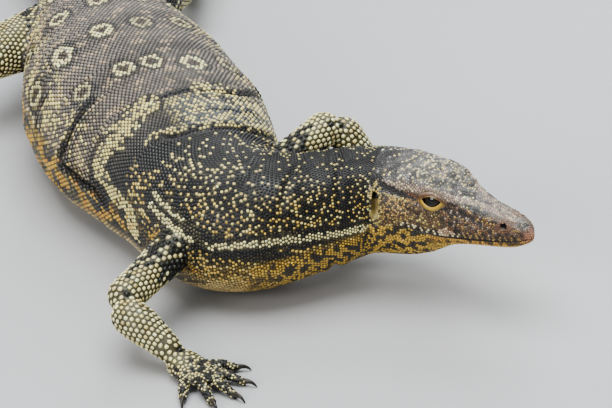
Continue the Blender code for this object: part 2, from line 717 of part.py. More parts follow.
def head_whole():
    """The head with its raised and sunken shapes, closed behind, before the openings are cut."""

    def place(t, angle):
        s = t**1.25 * HEAD_BACK
        side, height = body_section(s, angle)
        pole = (t <= 1e-6) | (t >= 1 - 1e-6)
        middle = (TOP(s) + BOTTOM(s)) / 2
        return np.stack([s, np.where(pole, 0.0, side), np.where(pole, middle, height)], axis=-1)

    mesh = closed_loft(110, 88, place)
    for _, rise, reach, line in HEAD_FORMS:
        mesh.normal_update()
        points = np.array([v.co for v in mesh.verts])
        mirrored = points * np.array([1.0, -1.0, 1.0])
        near = np.minimum(distance_to_line(points, line), distance_to_line(mirrored, line))
        fade = np.clip((CROWN_END - 0.003 - points[:, 0]) / 0.014, 0, 1)
        lift = rise * np.exp(-((near / reach) ** 2)) * fade
        for vertex, amount in zip(mesh.verts, lift):
            vertex.co += vertex.normal * float(amount)
    local = np.array([v.co for v in mesh.verts])
    for vertex, position in zip(mesh.verts, to_world(local[:, 0], local[:, 1], local[:, 2])):
        vertex.co = position
    bmesh.ops.recalc_face_normals(mesh, faces=mesh.faces)
    made = object_of("head_whole", mesh)
    thin = made.modifiers.new("thin", "DECIMATE")
    thin.ratio = HEAD_TRIANGLES / sum(len(p.vertices) - 2 for p in made.data.polygons)
    baked(made)
    return made


def head_axes(s):
    """Forward, left and up of the head at a station."""
    _, forward, left = spine_frame(s)
    return np.append(forward, 0.0), np.append(left, 0.0), UP


def ball(name, centre, axes, radii, segments=16, rings=10):
    """An ellipsoid with its own axes, as a helper for cutting or joining."""
    mesh = bmesh.new()
    bmesh.ops.create_uvsphere(mesh, u_segments=segments, v_segments=rings, radius=1.0)
    turn = Matrix([[float(axes[j][i]) * radii[j] for j in range(3)] for i in range(3)]).to_4x4()
    turn.translation = Vector([float(c) for c in centre])
    bmesh.ops.transform(mesh, matrix=turn, verts=mesh.verts)
    bmesh.ops.recalc_face_normals(mesh, faces=mesh.faces)
    made = object_of(name, mesh)
    made.hide_render = True
    made.display_type = "WIRE"
    return made


def eye_centre(side):
    return to_world(EYE_BEHIND_SNOUT, side * EYE_SIDE, EYE_HEIGHT)


def gaze_axes(side):
    """Forward, outward and up of one eye, which looks a little ahead and a little up."""
    forward, left, up = head_axes(EYE_BEHIND_SNOUT)
    ahead, rise = math.radians(EYE_TURNED_FORWARD), math.radians(EYE_TURNED_UP)
    level = left * side * math.cos(ahead) + forward * math.sin(ahead)
    outward = level * math.cos(rise) + up * math.sin(rise)
    along = forward * math.cos(ahead) - left * side * math.sin(ahead)
    return along, outward, up * math.cos(rise) - level * math.sin(rise)


def eye_slit(name, side):
    """The almond opening between the lids, as a cutter that runs out from the middle of the eye."""
    forward, outward, up = gaze_axes(side)
    centre = eye_centre(side)
    mesh = bmesh.new()
    count = 9
    outline = []
    for height, order in ((EYE_SLIT_UP, 1), (-EYE_SLIT_DOWN, -1)):
        for k in range(count - 1):
            along = order * (-1 + 2 * k / (count - 1))
            outline.append((EYE_SLIT_HALF_LENGTH * along, height * (1 - along * along)))
    loop = [mesh.verts.new(centre + forward * x + up * z + outward * 0.0035) for x, z in outline]
    face = mesh.faces.new(loop)
    grown = bmesh.ops.extrude_face_region(mesh, geom=[face])
    moved = [g for g in grown["geom"] if isinstance(g, bmesh.types.BMVert)]
    bmesh.ops.translate(mesh, verts=moved, vec=Vector(outward * 0.012))
    bmesh.ops.recalc_face_normals(mesh, faces=mesh.faces)
    made = object_of(name, mesh)
    made.hide_render = True
    return made


def mouth_cutter():
    """A thin curved ribbon along the mouth line, with a second one down behind the jaw."""
    line = [*MOUTH_LINE, JAW_ANGLE]
    heights = smooth_curve([p[0] for p in MOUTH_LINE], [p[1] for p in MOUTH_LINE])
    stops = [*np.linspace(MOUTH_LINE[0][0], MOUTH_LINE[-1][0], 15)]
    path = [(s, float(heights(s))) for s in stops]
    path.append((MOUTH_LINE[-1][0] + 0.0035, MOUTH_LINE[-1][1] - 0.004))
    path.append(line[-1])
    path = np.array(path)
    tangent = np.gradient(path, axis=0)
    tangent /= np.linalg.norm(tangent, axis=1, keepdims=True)
    across = np.stack([-tangent[:, 1], tangent[:, 0]], axis=1) * GAP / 2
    half_width = 0.045
    mesh = bmesh.new()
    rows = []
    for edge in (path - across, path + across):
        for side in (-half_width, half_width):
            _, forward, left = spine_frame(0.0)
            start, _, _ = spine_frame(0.0)
            plan = start - forward * edge[:, :1] + left * side
            rows.append([mesh.verts.new((*p, z)) for p, z in zip(plan, edge[:, 1])])
    low_right, low_left, high_right, high_left = rows
    for a, b in ((low_right, low_left), (low_left, high_left), (high_left, high_right), (high_right, low_right)):
        for k in range(len(path) - 1):
            mesh.faces.new((a[k], a[k + 1], b[k + 1], b[k]))
    mesh.faces.new((low_right[0], low_left[0], high_left[0], high_right[0]))
    mesh.faces.new((low_right[-1], high_right[-1], high_left[-1], low_left[-1]))
    bmesh.ops.recalc_face_normals(mesh, faces=mesh.faces)
    made = object_of("mouth_cutter", mesh)
    made.hide_render = True
    return made


def build_head():
    """The head and the lower jaw, with sockets, nostrils and ears, and the two eyes."""
    head = head_whole()
    lids = []
    for side in (1, -1):
        lids.append(ball("lid", eye_centre(side), gaze_axes(side), LID_RADII, 20, 14))
    cut_away(head, lids, operation="UNION")
    cutters = [mouth_cutter()]
    centre, _, _ = spine_frame(CROWN_END)
    axes = head_axes(CROWN_END)
    back = np.append(centre, 0.075) - axes[0] * (0.03 + GAP / 2)
    cutters.append(box("behind_head", back, axes, (0.06, 0.12, 0.13)))
    for side in (1, -1):
        axes = head_axes(EYE_BEHIND_SNOUT)
        cutters.append(ball("socket", eye_centre(side), axes, (EYE_RADIUS + GAP,) * 3))
        cutters.append(eye_slit("slit", side))
        nostril = to_world(NOSTRIL_BEHIND_SNOUT, side * NOSTRIL_SIDE, NOSTRIL_HEIGHT)
        cutters.append(ball("nostril", nostril, head_axes(NOSTRIL_BEHIND_SNOUT), NOSTRIL_RADII, 12, 8))
        ear = to_world(EAR_BEHIND_SNOUT, side * EAR_SIDE, EAR_HEIGHT)
        cutters.append(ball("ear", ear, head_axes(EAR_BEHIND_SNOUT), EAR_RADII, 14, 10))
    cut_away(head, cutters)
    marks = {"head": to_world(0.08, 0.0, 0.08), "lower_jaw": to_world(0.06, 0.0, 0.054)}
    name_pieces(islands(head), marks, "skin")
    bpy.data.objects.remove(head)
    for side, name in ((1, "eye_left"), (-1, "eye_right")):
        eye = ball(name, eye_centre(side), head_axes(EYE_BEHIND_SNOUT), (EYE_RADIUS,) * 3)
        eye.hide_render = False
        eye.display_type = "TEXTURED"
        eye.data.materials.append(finish("eye"))
        eye.data.shade_smooth()


def build_body():
    """Neck, trunk, tail and legs, parted into their nodes."""
    all_joints = {key: joints_of(limb) for key, limb in LIMBS.items()}
    body = body_whole(all_joints)
    cut_away(body, body_cutters(all_joints))
    name_pieces(islands(body), part_names(all_joints), "skin")
    bpy.data.objects.remove(body)
    add_claws(all_joints)


clear_scene()
build_body()
build_head()
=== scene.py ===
"""Looks of the life-size water monitor lizard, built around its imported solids.

The frame is metres with +Z up, the trunk points along +X and the animal's left is +Y. Distances called
"behind the snout" run along the spine, and a share is a place round the body: 0 on the back, +1 or -1
on the middle of the belly, counted along the hide down the left or the right side.
"""
import logging
import math
from dataclasses import dataclass, field
from enum import IntEnum

import bmesh
import bpy
import numpy as np
from mathutils import Matrix, Vector
from mathutils.bvhtree import BVHTree
from mathutils.kdtree import KDTree


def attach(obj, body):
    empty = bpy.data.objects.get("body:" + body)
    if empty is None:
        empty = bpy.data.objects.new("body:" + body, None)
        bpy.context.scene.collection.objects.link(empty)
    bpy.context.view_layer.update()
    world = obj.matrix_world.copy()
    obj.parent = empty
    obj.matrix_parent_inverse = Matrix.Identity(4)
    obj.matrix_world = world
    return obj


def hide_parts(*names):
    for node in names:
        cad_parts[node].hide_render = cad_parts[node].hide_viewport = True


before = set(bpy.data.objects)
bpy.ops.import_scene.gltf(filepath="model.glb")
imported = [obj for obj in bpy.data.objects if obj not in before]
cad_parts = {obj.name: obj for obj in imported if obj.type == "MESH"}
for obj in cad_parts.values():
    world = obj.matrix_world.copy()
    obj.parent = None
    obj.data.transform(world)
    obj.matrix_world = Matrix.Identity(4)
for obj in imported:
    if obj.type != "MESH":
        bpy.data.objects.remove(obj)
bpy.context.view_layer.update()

log = logging.getLogger("monitor")
Array = np.ndarray
UP = np.array([0.0, 0.0, 1.0])
BODY = "root"
TAIL_TIP = 1.694
HEAD_END = 0.1315
COAT_HEAD = 0.00042
COAT_BODY = 0.00065
FLOOR_CLEAR = 0.00005


def unit(vectors: Array) -> Array:
    """The vectors made one long."""
    return vectors / np.maximum(np.linalg.norm(vectors, axis=-1, keepdims=True), 1e-12)


def smoothstep(low: float, high: float, x: Array) -> Array:
    """0 below low, 1 above high, and smooth between them."""
    t = np.clip((np.asarray(x, float) - low) / (high - low), 0.0, 1.0)
    return t * t * (3 - 2 * t)


def direction(yaw_deg: float, below_level_deg: float = 0.0) -> Array:
    """A unit vector from its yaw, which turns from +X towards +Y, and its angle below the level."""
    yaw, pitch = math.radians(yaw_deg), math.radians(below_level_deg)
    return np.array([math.cos(yaw) * math.cos(pitch), math.sin(yaw) * math.cos(pitch), -math.sin(pitch)])


def distance_to_line(points: Array, line: Array) -> Array:
    """How far each point is from a line of straight runs, in two or three dimensions."""
    line = np.asarray(line, float)
    best = np.full(len(points), np.inf)
    for start, end in zip(line, line[1:]):
        run = end - start
        t = np.clip(((points - start) @ run) / (run @ run), 0, 1)
        best = np.minimum(best, np.linalg.norm(points - (start + t[:, None] * run), axis=1))
    return best


def tree_of(points: Array) -> KDTree:
    """A tree that finds the points near a place."""
    tree = KDTree(len(points))
    for i, place in enumerate(np.asarray(points).tolist()):
        tree.insert(place, i)
    tree.balance()
    return tree


def neighbours(points: Array, count: int) -> Array:
    """The rows of the nearest points to each point, itself first."""
    tree = tree_of(points)
    return np.array([[found[1] for found in tree.find_n(place, count)] for place in points.tolist()])


def span(x: Array, start: float, full: float, fade: float, end: float) -> Array:
    """A smooth window: 0 up to start, 1 from full to fade and 0 again from end."""
    return smoothstep(start, full, x) * (1 - smoothstep(fade, end, x))


class Curve:
    """A smooth function through given points that never overshoots between them."""

    def __init__(self, xs: Array, ys: Array) -> None:
        """Works out the slopes at the points."""
        self.xs, self.ys = np.asarray(xs, float), np.asarray(ys, float)
        self.steps = np.diff(self.xs)
        slopes = np.diff(self.ys) / self.steps
        self.tangents = np.zeros(len(self.xs))
        same_way = slopes[:-1] * slopes[1:] > 0
        before = 2 * self.steps[1:] + self.steps[:-1]
        after = self.steps[1:] + 2 * self.steps[:-1]
        safe = np.where(same_way, slopes[:-1] * slopes[1:], 1.0)
        mean = (before + after) * safe / (before * slopes[1:] + after * slopes[:-1] + (~same_way))
        self.tangents[1:-1] = np.where(same_way, mean, 0.0)
        self.tangents[0], self.tangents[-1] = slopes[0], slopes[-1]

    def __call__(self, x: Array) -> Array:
        """The value at x, which may be an array of any shape."""
        x = np.clip(np.asarray(x, float), self.xs[0], self.xs[-1])
        i = np.clip(np.searchsorted(self.xs, x, side="right") - 1, 0, len(self.steps) - 1)
        t = (x - self.xs[i]) / self.steps[i]
        rise = (1 + 2 * t) * (1 - t) ** 2 * self.ys[i] + t * t * (3 - 2 * t) * self.ys[i + 1]
        turn = t * (1 - t) ** 2 * self.tangents[i] - t * t * (1 - t) * self.tangents[i + 1]
        return rise + self.steps[i] * turn


class Spine:
    """The outline of head, neck, trunk and tail as sections along a bent spine."""

    # Behind the snout, heading, half width, top, bottom, share of the height that is widest, roundness
    # above and below
    STATIONS = (
        (0.0000, 34, 0.0010, 0.0660, 0.0632, 0.42, 2.3, 2.3), (0.0015, 34, 0.0040, 0.0688, 0.0613, 0.42, 2.3, 2.3),
        (0.0050, 34, 0.0080, 0.0722, 0.0592, 0.40, 2.5, 2.4), (0.0110, 34, 0.0108, 0.0753, 0.0565, 0.38, 2.7, 2.5),
        (0.0220, 34, 0.0131, 0.0782, 0.0538, 0.36, 2.9, 2.5), (0.0350, 34, 0.0150, 0.0812, 0.0514, 0.34, 2.9, 2.5),
        (0.0500, 34, 0.0178, 0.0857, 0.0485, 0.34, 3.0, 2.5), (0.0620, 34, 0.0206, 0.0905, 0.0450, 0.35, 3.3, 2.5),
        (0.0730, 34, 0.0234, 0.0943, 0.0395, 0.38, 3.6, 2.4), (0.0860, 35, 0.0268, 0.0968, 0.0318, 0.40, 3.4, 2.3),
        (0.1000, 37, 0.0300, 0.0980, 0.0265, 0.40, 3.0, 2.2), (0.1180, 42, 0.0335, 0.0984, 0.0238, 0.40, 2.6, 2.2),
        (0.1340, 60, 0.0350, 0.0982, 0.0225, 0.40, 2.4, 2.2), (0.1570, 82, 0.0385, 0.0982, 0.0190, 0.40, 2.3, 2.2),
        (0.1900, 82, 0.0435, 0.0990, 0.0130, 0.40, 2.2, 2.3), (0.2240, 55, 0.0530, 0.1010, 0.0060, 0.40, 2.2, 2.5),
        (0.2560, 16, 0.0565, 0.1030, 0.0005, 0.41, 2.2, 2.7), (0.2940, 2, 0.0625, 0.1050, -0.0010, 0.41, 2.2, 2.9),
        (0.3440, 6, 0.0740, 0.1080, -0.0015, 0.40, 2.2, 3.0), (0.4040, 8, 0.0845, 0.1110, -0.0015, 0.39, 2.2, 3.0),
        (0.4640, 0, 0.0840, 0.1100, -0.0015, 0.39, 2.2, 3.0), (0.5240, -2, 0.0740, 0.1040, -0.0015, 0.40, 2.2, 2.9),
        (0.5840, -5, 0.0590, 0.0950, -0.0010, 0.42, 2.2, 2.7), (0.6340, -5, 0.0470, 0.0860, 0.0010, 0.44, 2.2, 2.5),
        (0.6840, -1, 0.0390, 0.0780, 0.0005, 0.44, 2.1, 2.4), (0.7540, 4, 0.0318, 0.0710, -0.0010, 0.43, 2.0, 2.3),
        (0.8740, 11, 0.0235, 0.0625, -0.0010, 0.42, 1.8, 2.2), (1.0440, 14, 0.0165, 0.0520, -0.0010, 0.41, 1.7, 2.1),
        (1.2440, 4, 0.0112, 0.0390, -0.0010, 0.40, 1.7, 2.1), (1.4440, -16, 0.0070, 0.0255, -0.0010, 0.40, 1.7, 2.1),
        (1.5940, -30, 0.0042, 0.0150, -0.0008, 0.42, 1.8, 2.1), (1.6790, -36, 0.0024, 0.0074, -0.0005, 0.46, 2.0, 2.0),
        (1.6940, -37, 0.0006, 0.0030, 0.0010, 0.50, 2.0, 2.0),
    )
    STEP = 0.001
    MID_TRUNK = 0.394
    BOX_MIDDLE = (-0.46613, -0.02720)
    KEEL = (0.0022, 0.0035, 0.72, 0.85)
    RING_STEP = 0.002
    OUTLINE_POINTS = 361

    def __init__(self) -> None:
        """Lays the spine out in plan and measures the hide round every section."""
        rows = np.array(self.STATIONS, float).T
        self.heading, self.half_width, self.top, self.bottom = (Curve(rows[0], row) for row in rows[1:5])
        self.widest, self.round_top, self.round_bottom = (Curve(rows[0], row) for row in rows[5:])
        self.s = np.arange(0.0, TAIL_TIP + self.STEP, self.STEP)
        heading = np.radians(self.heading(self.s + self.STEP / 2))
        self.x = -np.concatenate([[0.0], np.cumsum(np.cos(heading) * self.STEP)])[:-1]
        self.y = -np.concatenate([[0.0], np.cumsum(np.sin(heading) * self.STEP)])[:-1]
        self.x -= np.interp(self.MID_TRUNK, self.s, self.x) + self.BOX_MIDDLE[0]
        self.y -= np.interp(self.MID_TRUNK, self.s, self.y) + self.BOX_MIDDLE[1]
        self.tree = tree_of(np.column_stack([self.x, self.y, np.zeros(len(self.x))]))
        self.rings = np.arange(0.0, TAIL_TIP, self.RING_STEP)
        angles = np.radians(np.linspace(90, -90, 181))
        side, height = self.section(self.rings[:, None], angles[None, :])
        runs = np.hypot(np.diff(side, axis=1), np.diff(height, axis=1))
        arcs = np.concatenate([np.zeros((len(self.rings), 1)), np.cumsum(runs, axis=1)], axis=1)
        self.half_girths = arcs[:, -1]
        self.shares = arcs / arcs[:, -1:]

    def frame(self, s: Array) -> tuple[Array, Array, Array]:
        """Centre in plan, forward and left unit vectors of the spine at s."""
        heading = np.radians(self.heading(s))
        centre = np.stack([np.interp(s, self.s, self.x), np.interp(s, self.s, self.y)], axis=-1)
        return (centre, np.stack([np.cos(heading), np.sin(heading)], axis=-1),
                np.stack([-np.sin(heading), np.cos(heading)], axis=-1))

    def world(self, s: Array, side: Array, height: Array) -> Array:
        """Points given by how far they are behind the snout, to the left and above the floor."""
        s, side, height = np.broadcast_arrays(*(np.asarray(v, float) for v in (s, side, height)))
        centre, _, left = self.frame(s)
        return np.concatenate([centre + left * side[..., None], height[..., None]], axis=-1)

    def section(self, s: Array, angle: Array) -> tuple[Array, Array]:
        """Side and height of the outline at s, where angle 0 is the left and a quarter turn the back."""
        across, rise = np.cos(angle), np.sin(angle)
        upper = rise >= 0
        power = 2.0 / np.where(upper, self.round_top(s), self.round_bottom(s))
        top, bottom = self.top(s), self.bottom(s)
        middle = bottom + self.widest(s) * (top - bottom)
        reach = np.where(upper, top - middle, middle - bottom)
        side = self.half_width(s) * np.sign(across) * np.abs(across) ** power
        height = middle + np.sign(rise) * reach * np.abs(rise) ** power
        tall, wide, start, full = self.KEEL
        keel = tall * np.clip((s - start) / (full - start), 0, 1) * np.minimum(1.0, (top - bottom) / 0.03)
        return side, height + np.where(upper, keel * np.exp(-((side / wide) ** 2)), 0.0)

    def ring(self, s: float, share: Array) -> tuple[Array, Array]:
        """Side and height of places on one section, given as signed shares of its half girth."""
        angles = np.radians(np.linspace(90, -90, self.OUTLINE_POINTS))
        side, height = self.section(np.full(len(angles), s), angles)
        arcs = np.concatenate([[0.0], np.cumsum(np.hypot(np.diff(side), np.diff(height)))])
        place = np.abs(share) * arcs[-1]
        return np.sign(share) * np.interp(place, arcs, side), np.interp(place, arcs, height)

    def share_at(self, s: float, height: float) -> float:
        """The share at which the hide of one section has the given height."""
        grid = np.linspace(0, 1, 181)
        return float(np.interp(-height, -self.ring(s, grid)[1], grid))

    def half_girth(self, s: Array) -> Array:
        """How far it is over the hide from the middle of the back to the middle of the belly."""
        return np.interp(s, self.rings, self.half_girths)

    def on_hide(self, places: list[tuple[float, float]]) -> Array:
        """World points of places given as (behind the snout, share)."""
        found = []
        for s, share in places:
            side, height = self.ring(s, np.array([share]))
            found.append(self.world(s, side[0], height[0]))
        return np.array(found)

    def locate(self, points: Array) -> tuple[Array, Array, Array, Array, Array]:
        """Where points are on the body.

        Args:
            points: world places, one a row.

        Returns:
            Behind the snout, side, height, signed share, and how far out of the section (1 is on it).
        """
        nearest = np.array([self.tree.find((p[0], p[1], 0.0))[1] for p in points.tolist()])
        s = self.s[nearest]
        centre, forward, left = self.frame(s)
        offset = points[:, :2] - centre
        s = np.clip(s - (offset * forward).sum(axis=1), 0, TAIL_TIP - 0.002)
        side, height = (offset * left).sum(axis=1), points[:, 2]
        top, bottom = self.top(s), self.bottom(s)
        middle = bottom + self.widest(s) * (top - bottom)
        upper = height >= middle
        power = np.where(upper, self.round_top(s), self.round_bottom(s))
        reach = np.where(upper, top - middle, middle - bottom)
        across = np.abs(side) / self.half_width(s)
        rise = np.abs(height - middle) / reach
        out = (across ** power + rise ** power) ** (1 / power)
        turn = np.degrees(np.arctan2(across ** (power / 2), np.where(upper, 1, -1) * rise ** (power / 2)))
        row = np.clip(s / self.RING_STEP, 0, len(self.rings) - 1.001)
        col = np.clip(turn, 0, 179.999)
        i, j = row.astype(int), col.astype(int)
        a, b = row - i, col - j
        table = self.shares
        share = ((1 - a) * ((1 - b) * table[i, j] + b * table[i, j + 1])
                 + a * ((1 - b) * table[i + 1, j] + b * table[i + 1, j + 1]))
        return s, side, height, share * np.sign(side + 1e-12), out


SPINE = Spine()


@dataclass(frozen=True)
class Limb:
    """A leg: its root on the body, the length, yaw and pitch of its two long parts, and its foot."""

    name: str
    root_place: tuple[float, float, float]
    upper: tuple[float, float, float]
    lower: tuple[float, float, float]
    upper_radii: tuple[float, ...]
    lower_radii: tuple[float, ...]
    foot_yaw: float
    foot_length: float
    foot_half_width: float
    fan: tuple[float, ...]
    lengths: tuple[float, ...]
    digit_radius: float
    knuckle_height: float = 0.0066
    back_height: float = 0.0098
    sole_sink: float = 0.0018

    @property
    def side(self) -> float:
        """+1 on the animal's left and -1 on its right."""
        return 1.0 if self.root_place[1] > 0 else -1.0

    @property
    def bends(self) -> tuple[Array, Array, Array]:
        """Places of the root, the elbow or knee, and the wrist or ankle."""
        root = SPINE.world(*self.root_place)
        elbow = root + self.upper[0] * direction(*self.upper[1:])
        wrist = elbow + self.lower[0] * direction(*self.lower[1:])
        wrist[2] = self.back_height + 0.002
        return root, elbow, wrist

    @property
    def digits(self) -> list[tuple[Array, Array, float]]:
        """Knuckle, tip and yaw of each digit, the inner one first."""
        wrist = self.bends[2]
        ahead, left = direction(self.foot_yaw), direction(self.foot_yaw + 90)
        found = []
        last = len(self.fan) - 1
        for i, (fan, length) in enumerate(zip(self.fan, self.lengths)):
            place = 1 - 2 * i / last
            across = place * (self.foot_half_width - self.digit_radius * 0.6)
            set_back = 0.30 * self.foot_length * place ** 2
            knuckle = wrist + ahead * (self.foot_length - set_back) - self.side * left * across
            knuckle[2] = self.knuckle_height
            yaw = self.foot_yaw - self.side * fan
            tip = knuckle + direction(yaw) * length
            tip[2] = self.digit_radius * 0.80 - self.sole_sink
            found.append((knuckle, tip, yaw))
        return found


ARM_RADII = ((0.0200, 0.0162, 0.0136, 0.0134), (0.0132, 0.0140, 0.0116, 0.0092))
LEG_RADII = ((0.0280, 0.0258, 0.0220, 0.0182), (0.0175, 0.0178, 0.0140, 0.0105))
HAND = ((44, 21, 0, -21, -46), (0.020, 0.028, 0.032, 0.031, 0.022), 0.0045)
FOOT = ((34, 16, 0, -15, -48), (0.022, 0.033, 0.043, 0.051, 0.032), 0.0047)
LIMBS = (
    Limb("right_fore", (0.246, -0.047, 0.048), (0.080, -50, 6), (0.062, 40, 34), *ARM_RADII, 28, 0.026, 0.0145, *HAND),
    Limb("left_fore", (0.262, 0.042, 0.062), (0.072, 118, -14), (0.074, 48, 60), *ARM_RADII, 50, 0.026, 0.0145, *HAND),
    Limb("right_hind", (0.606, -0.034, 0.050), (0.100, -56, -6), (0.088, -132, 33), *LEG_RADII, -52, 0.036, 0.0160,
         *FOOT),
    Limb("left_hind", (0.612, 0.030, 0.050), (0.100, 138, 4), (0.088, 172, 29), *LEG_RADII, 128, 0.036, 0.0160, *FOOT),
)


class Stretch(IntEnum):
    """The stretches of a leg, from the body outwards."""

    UPPER = 0
    LOWER = 1
    PALM = 2
    DIGIT = 3


class LegMap:
    """Finds the nearest stretch of a leg to any point."""

    def __init__(self) -> None:
        """Lists every straight stretch of the four legs."""
        rows = []
        for number, limb in enumerate(LIMBS):
            root, elbow, wrist = limb.bends
            gone = limb.upper[0]
            rows.append((root, elbow, number, Stretch.UPPER, 0, 0.0, limb.upper_radii[1]))
            rows.append((elbow, wrist, number, Stretch.LOWER, 0, gone, limb.lower_radii[1]))
            gone += float(np.linalg.norm(wrist - elbow))
            for i, (knuckle, tip, _) in enumerate(limb.digits):
                low = wrist.copy()
                low[2] = knuckle[2]
                rows.append((low, knuckle, number, Stretch.PALM, i, gone, 0.0075))
                rows.append((knuckle, tip, number, Stretch.DIGIT, i, gone + limb.foot_length, limb.digit_radius))
        self.start = np.array([r[0] for r in rows])
        self.run = np.array([r[1] for r in rows]) - self.start
        self.limb, self.kind, self.digit = (np.array([r[k] for r in rows]) for k in (2, 3, 4))
        self.gone, self.radius = (np.array([r[k] for r in rows]) for k in (5, 6))
        self.length = np.linalg.norm(self.run, axis=1)

    def locate(self, points: Array) -> dict[str, Array]:
        """The nearest stretch to each point.

        Args:
            points: world places, one a row.

        Returns:
            limb, kind, digit, along (metres from the root), around (a full turn is 1), near (distance in
            radii) and lie (unit vector towards the claws).
        """
        best = np.full(len(points), np.inf)
        pick = np.zeros(len(points), int)
        spot = np.zeros(len(points))
        for k in range(len(self.start)):
            t = np.clip(((points - self.start[k]) @ self.run[k]) / self.length[k] ** 2, 0, 1)
            far = np.linalg.norm(points - self.start[k] - t[:, None] * self.run[k], axis=1) / self.radius[k]
            closer = far < best
            best[closer], pick[closer], spot[closer] = far[closer], k, t[closer]
        lie = unit(self.run[pick])
        middle = self.start[pick] + spot[:, None] * self.run[pick]
        side = unit(np.cross(UP, lie))
        lift = np.cross(lie, side)
        off = points - middle
        around = np.arctan2((off * side).sum(axis=1), (off * lift).sum(axis=1)) / (2 * math.pi) + 0.5
        return {"limb": self.limb[pick], "kind": self.kind[pick], "digit": self.digit[pick], "near": best,
                "along": self.gone[pick] + spot * self.length[pick], "around": around, "lie": lie}


LEGS = LegMap()


def placed(name: str, data: bpy.types.ID) -> bpy.types.Object:
    """An object that holds the data, linked to the scene."""
    made = bpy.data.objects.new(name, data)
    bpy.context.scene.collection.objects.link(made)
    return made


def piece_of(name: str, shape: bmesh.types.BMesh, *materials: bpy.types.Material) -> bpy.types.Object:
    """A smooth-shaded object linked to the scene that holds the shape, which is freed."""
    set_order(shape)
    data = bpy.data.meshes.new(name)
    shape.to_mesh(data)
    shape.free()
    data.shade_smooth()
    for material in materials:
        data.materials.append(material)
    return placed(name, data)


def set_order(shape: bmesh.types.BMesh) -> None:
    """Rebuilds the shape with its faces in a set order, which the mesh tools change from run to run."""
    shape.verts.index_update()
    faces = []
    for face in shape.faces:
        row = [v.index for v in face.verts]
        first = row.index(min(row))
        faces.append(row[first:] + row[:first])
    scratch = bpy.data.meshes.new("scratch")
    scratch.from_pydata(places(shape).tolist(), [], sorted(faces))
    shape.clear()
    shape.from_mesh(scratch)
    bpy.data.meshes.remove(scratch)


def merge(target: bmesh.types.BMesh, source: bmesh.types.BMesh) -> None:
    """Adds the source's mesh to the target and frees the source."""
    scratch = bpy.data.meshes.new("scratch")
    source.to_mesh(scratch)
    source.free()
    target.from_mesh(scratch)
    bpy.data.meshes.remove(scratch)


def places(shape: bmesh.types.BMesh) -> Array:
    """The shape's vertices as rows."""
    return np.array([v.co for v in shape.verts])


def put(shape: bmesh.types.BMesh, points: Array) -> None:
    """Moves the shape's vertices to the given rows."""
    for vertex, place in zip(shape.verts, points.tolist()):
        vertex.co = place


def ball(segments: int, rings: int) -> tuple[bmesh.types.BMesh, Array, Array, Array]:
    """A ball, its points, how far each is from the pole (0 to 1) and its turn round the pole."""
    shape = bmesh.new()
    bmesh.ops.create_uvsphere(shape, u_segments=segments, v_segments=rings, radius=1.0)
    set_order(shape)
    points = places(shape)
    return shape, points, np.arccos(np.clip(points[:, 2], -1, 1)) / math.pi, np.arctan2(points[:, 1], points[:, 0])


def read(items: bpy.types.bpy_prop_collection, key: str, kind: type = np.float32) -> Array:
    """One property of all the items, three numbers a row."""
    values = np.empty(len(items) * 3, kind)
    items.foreach_get(key, values)
    return values.reshape(-1, 3)


def normals(shape: bmesh.types.BMesh) -> Array:
    """Unit normals at the shape's vertices."""
    shape.normal_update()
    return np.array([v.normal for v in shape.verts])


def set_values(data: bpy.types.Mesh, name: str, values: Array) -> None:
    """Stores one number a vertex as the named attribute."""
    data.attributes.new(name, "FLOAT", "POINT").data.foreach_set("value", values.astype(np.float32).ravel())


def set_tone(data: bpy.types.Mesh, tones: Array) -> None:
    """Stores one colour a vertex as the attribute "tone"."""
    layer = data.color_attributes.new("tone", "FLOAT_COLOR", "POINT")
    layer.data.foreach_set("color", np.column_stack([tones, np.ones(len(tones))]).astype(np.float32).ravel())


@dataclass
class EyeFit:
    """Where one eye sits, and the almond between its lids."""

    side: int
    behind_snout: float = 0.0740
    out: float = 0.0123
    height: float = 0.0812
    radius: float = 0.0095
    ahead_deg: float = 12.0
    up_deg: float = 12.0
    lid_radii: tuple[float, float, float] = (0.0132, 0.0106, 0.0103)
    slit_half_length: float = 0.0074
    slit_up: float = 0.0031
    slit_down: float = 0.0043

    @property
    def centre(self) -> Array:
        """The middle of the eyeball."""
        return SPINE.world(self.behind_snout, self.side * self.out, self.height)

    @property
    def axes(self) -> Array:
        """Rows: along the slit towards the snout, out of the head, and up the lids."""
        _, forward, left = SPINE.frame(np.array(self.behind_snout))
        forward, left = np.append(forward, 0.0), np.append(left, 0.0) * self.side
        ahead, rise = math.radians(self.ahead_deg), math.radians(self.up_deg)
        level = left * math.cos(ahead) + forward * math.sin(ahead)
        return np.array([forward * math.cos(ahead) - left * math.sin(ahead),
                         level * math.cos(rise) + UP * math.sin(rise),
                         UP * math.cos(rise) - level * math.sin(rise)])

    def local(self, points: Array) -> Array:
        """The points as along, out and up from the middle of the eyeball."""
        return (points - self.centre) @ self.axes.T

    def outside(self, along: Array, up: Array) -> Array:
        """How far outside the almond a place is, seen from the front, negative within it."""
        reach = np.hypot(along, up)
        return reach - self.edge(np.arctan2(up, along))

    def edge(self, turn: Array) -> Array:
        """How far the almond's edge is from its middle in each direction."""
        lift = np.where(np.sin(turn) >= 0, self.slit_up, self.slit_down)
        steep = np.abs(np.sin(turn))
        curve = lift * np.cos(turn) ** 2 / self.slit_half_length ** 2
        return 2 * lift / (steep + np.sqrt(steep ** 2 + 4 * curve * lift))


EYES = (EyeFit(-1), EyeFit(1))


@dataclass(frozen=True)
class Pit:
    """An opening sunk into the side of the head, with a raised edge."""

    behind_snout: float
    height: float
    half_length: float
    half_height: float
    depth: float
    rim: float
    lean: float

    def reach(self, s: Array, height: Array) -> Array:
        """How far out of the opening a place is: 1 is on its edge."""
        along = s - self.behind_snout - self.lean * (height - self.height)
        return np.hypot(along / self.half_length, (height - self.height) / self.half_height)


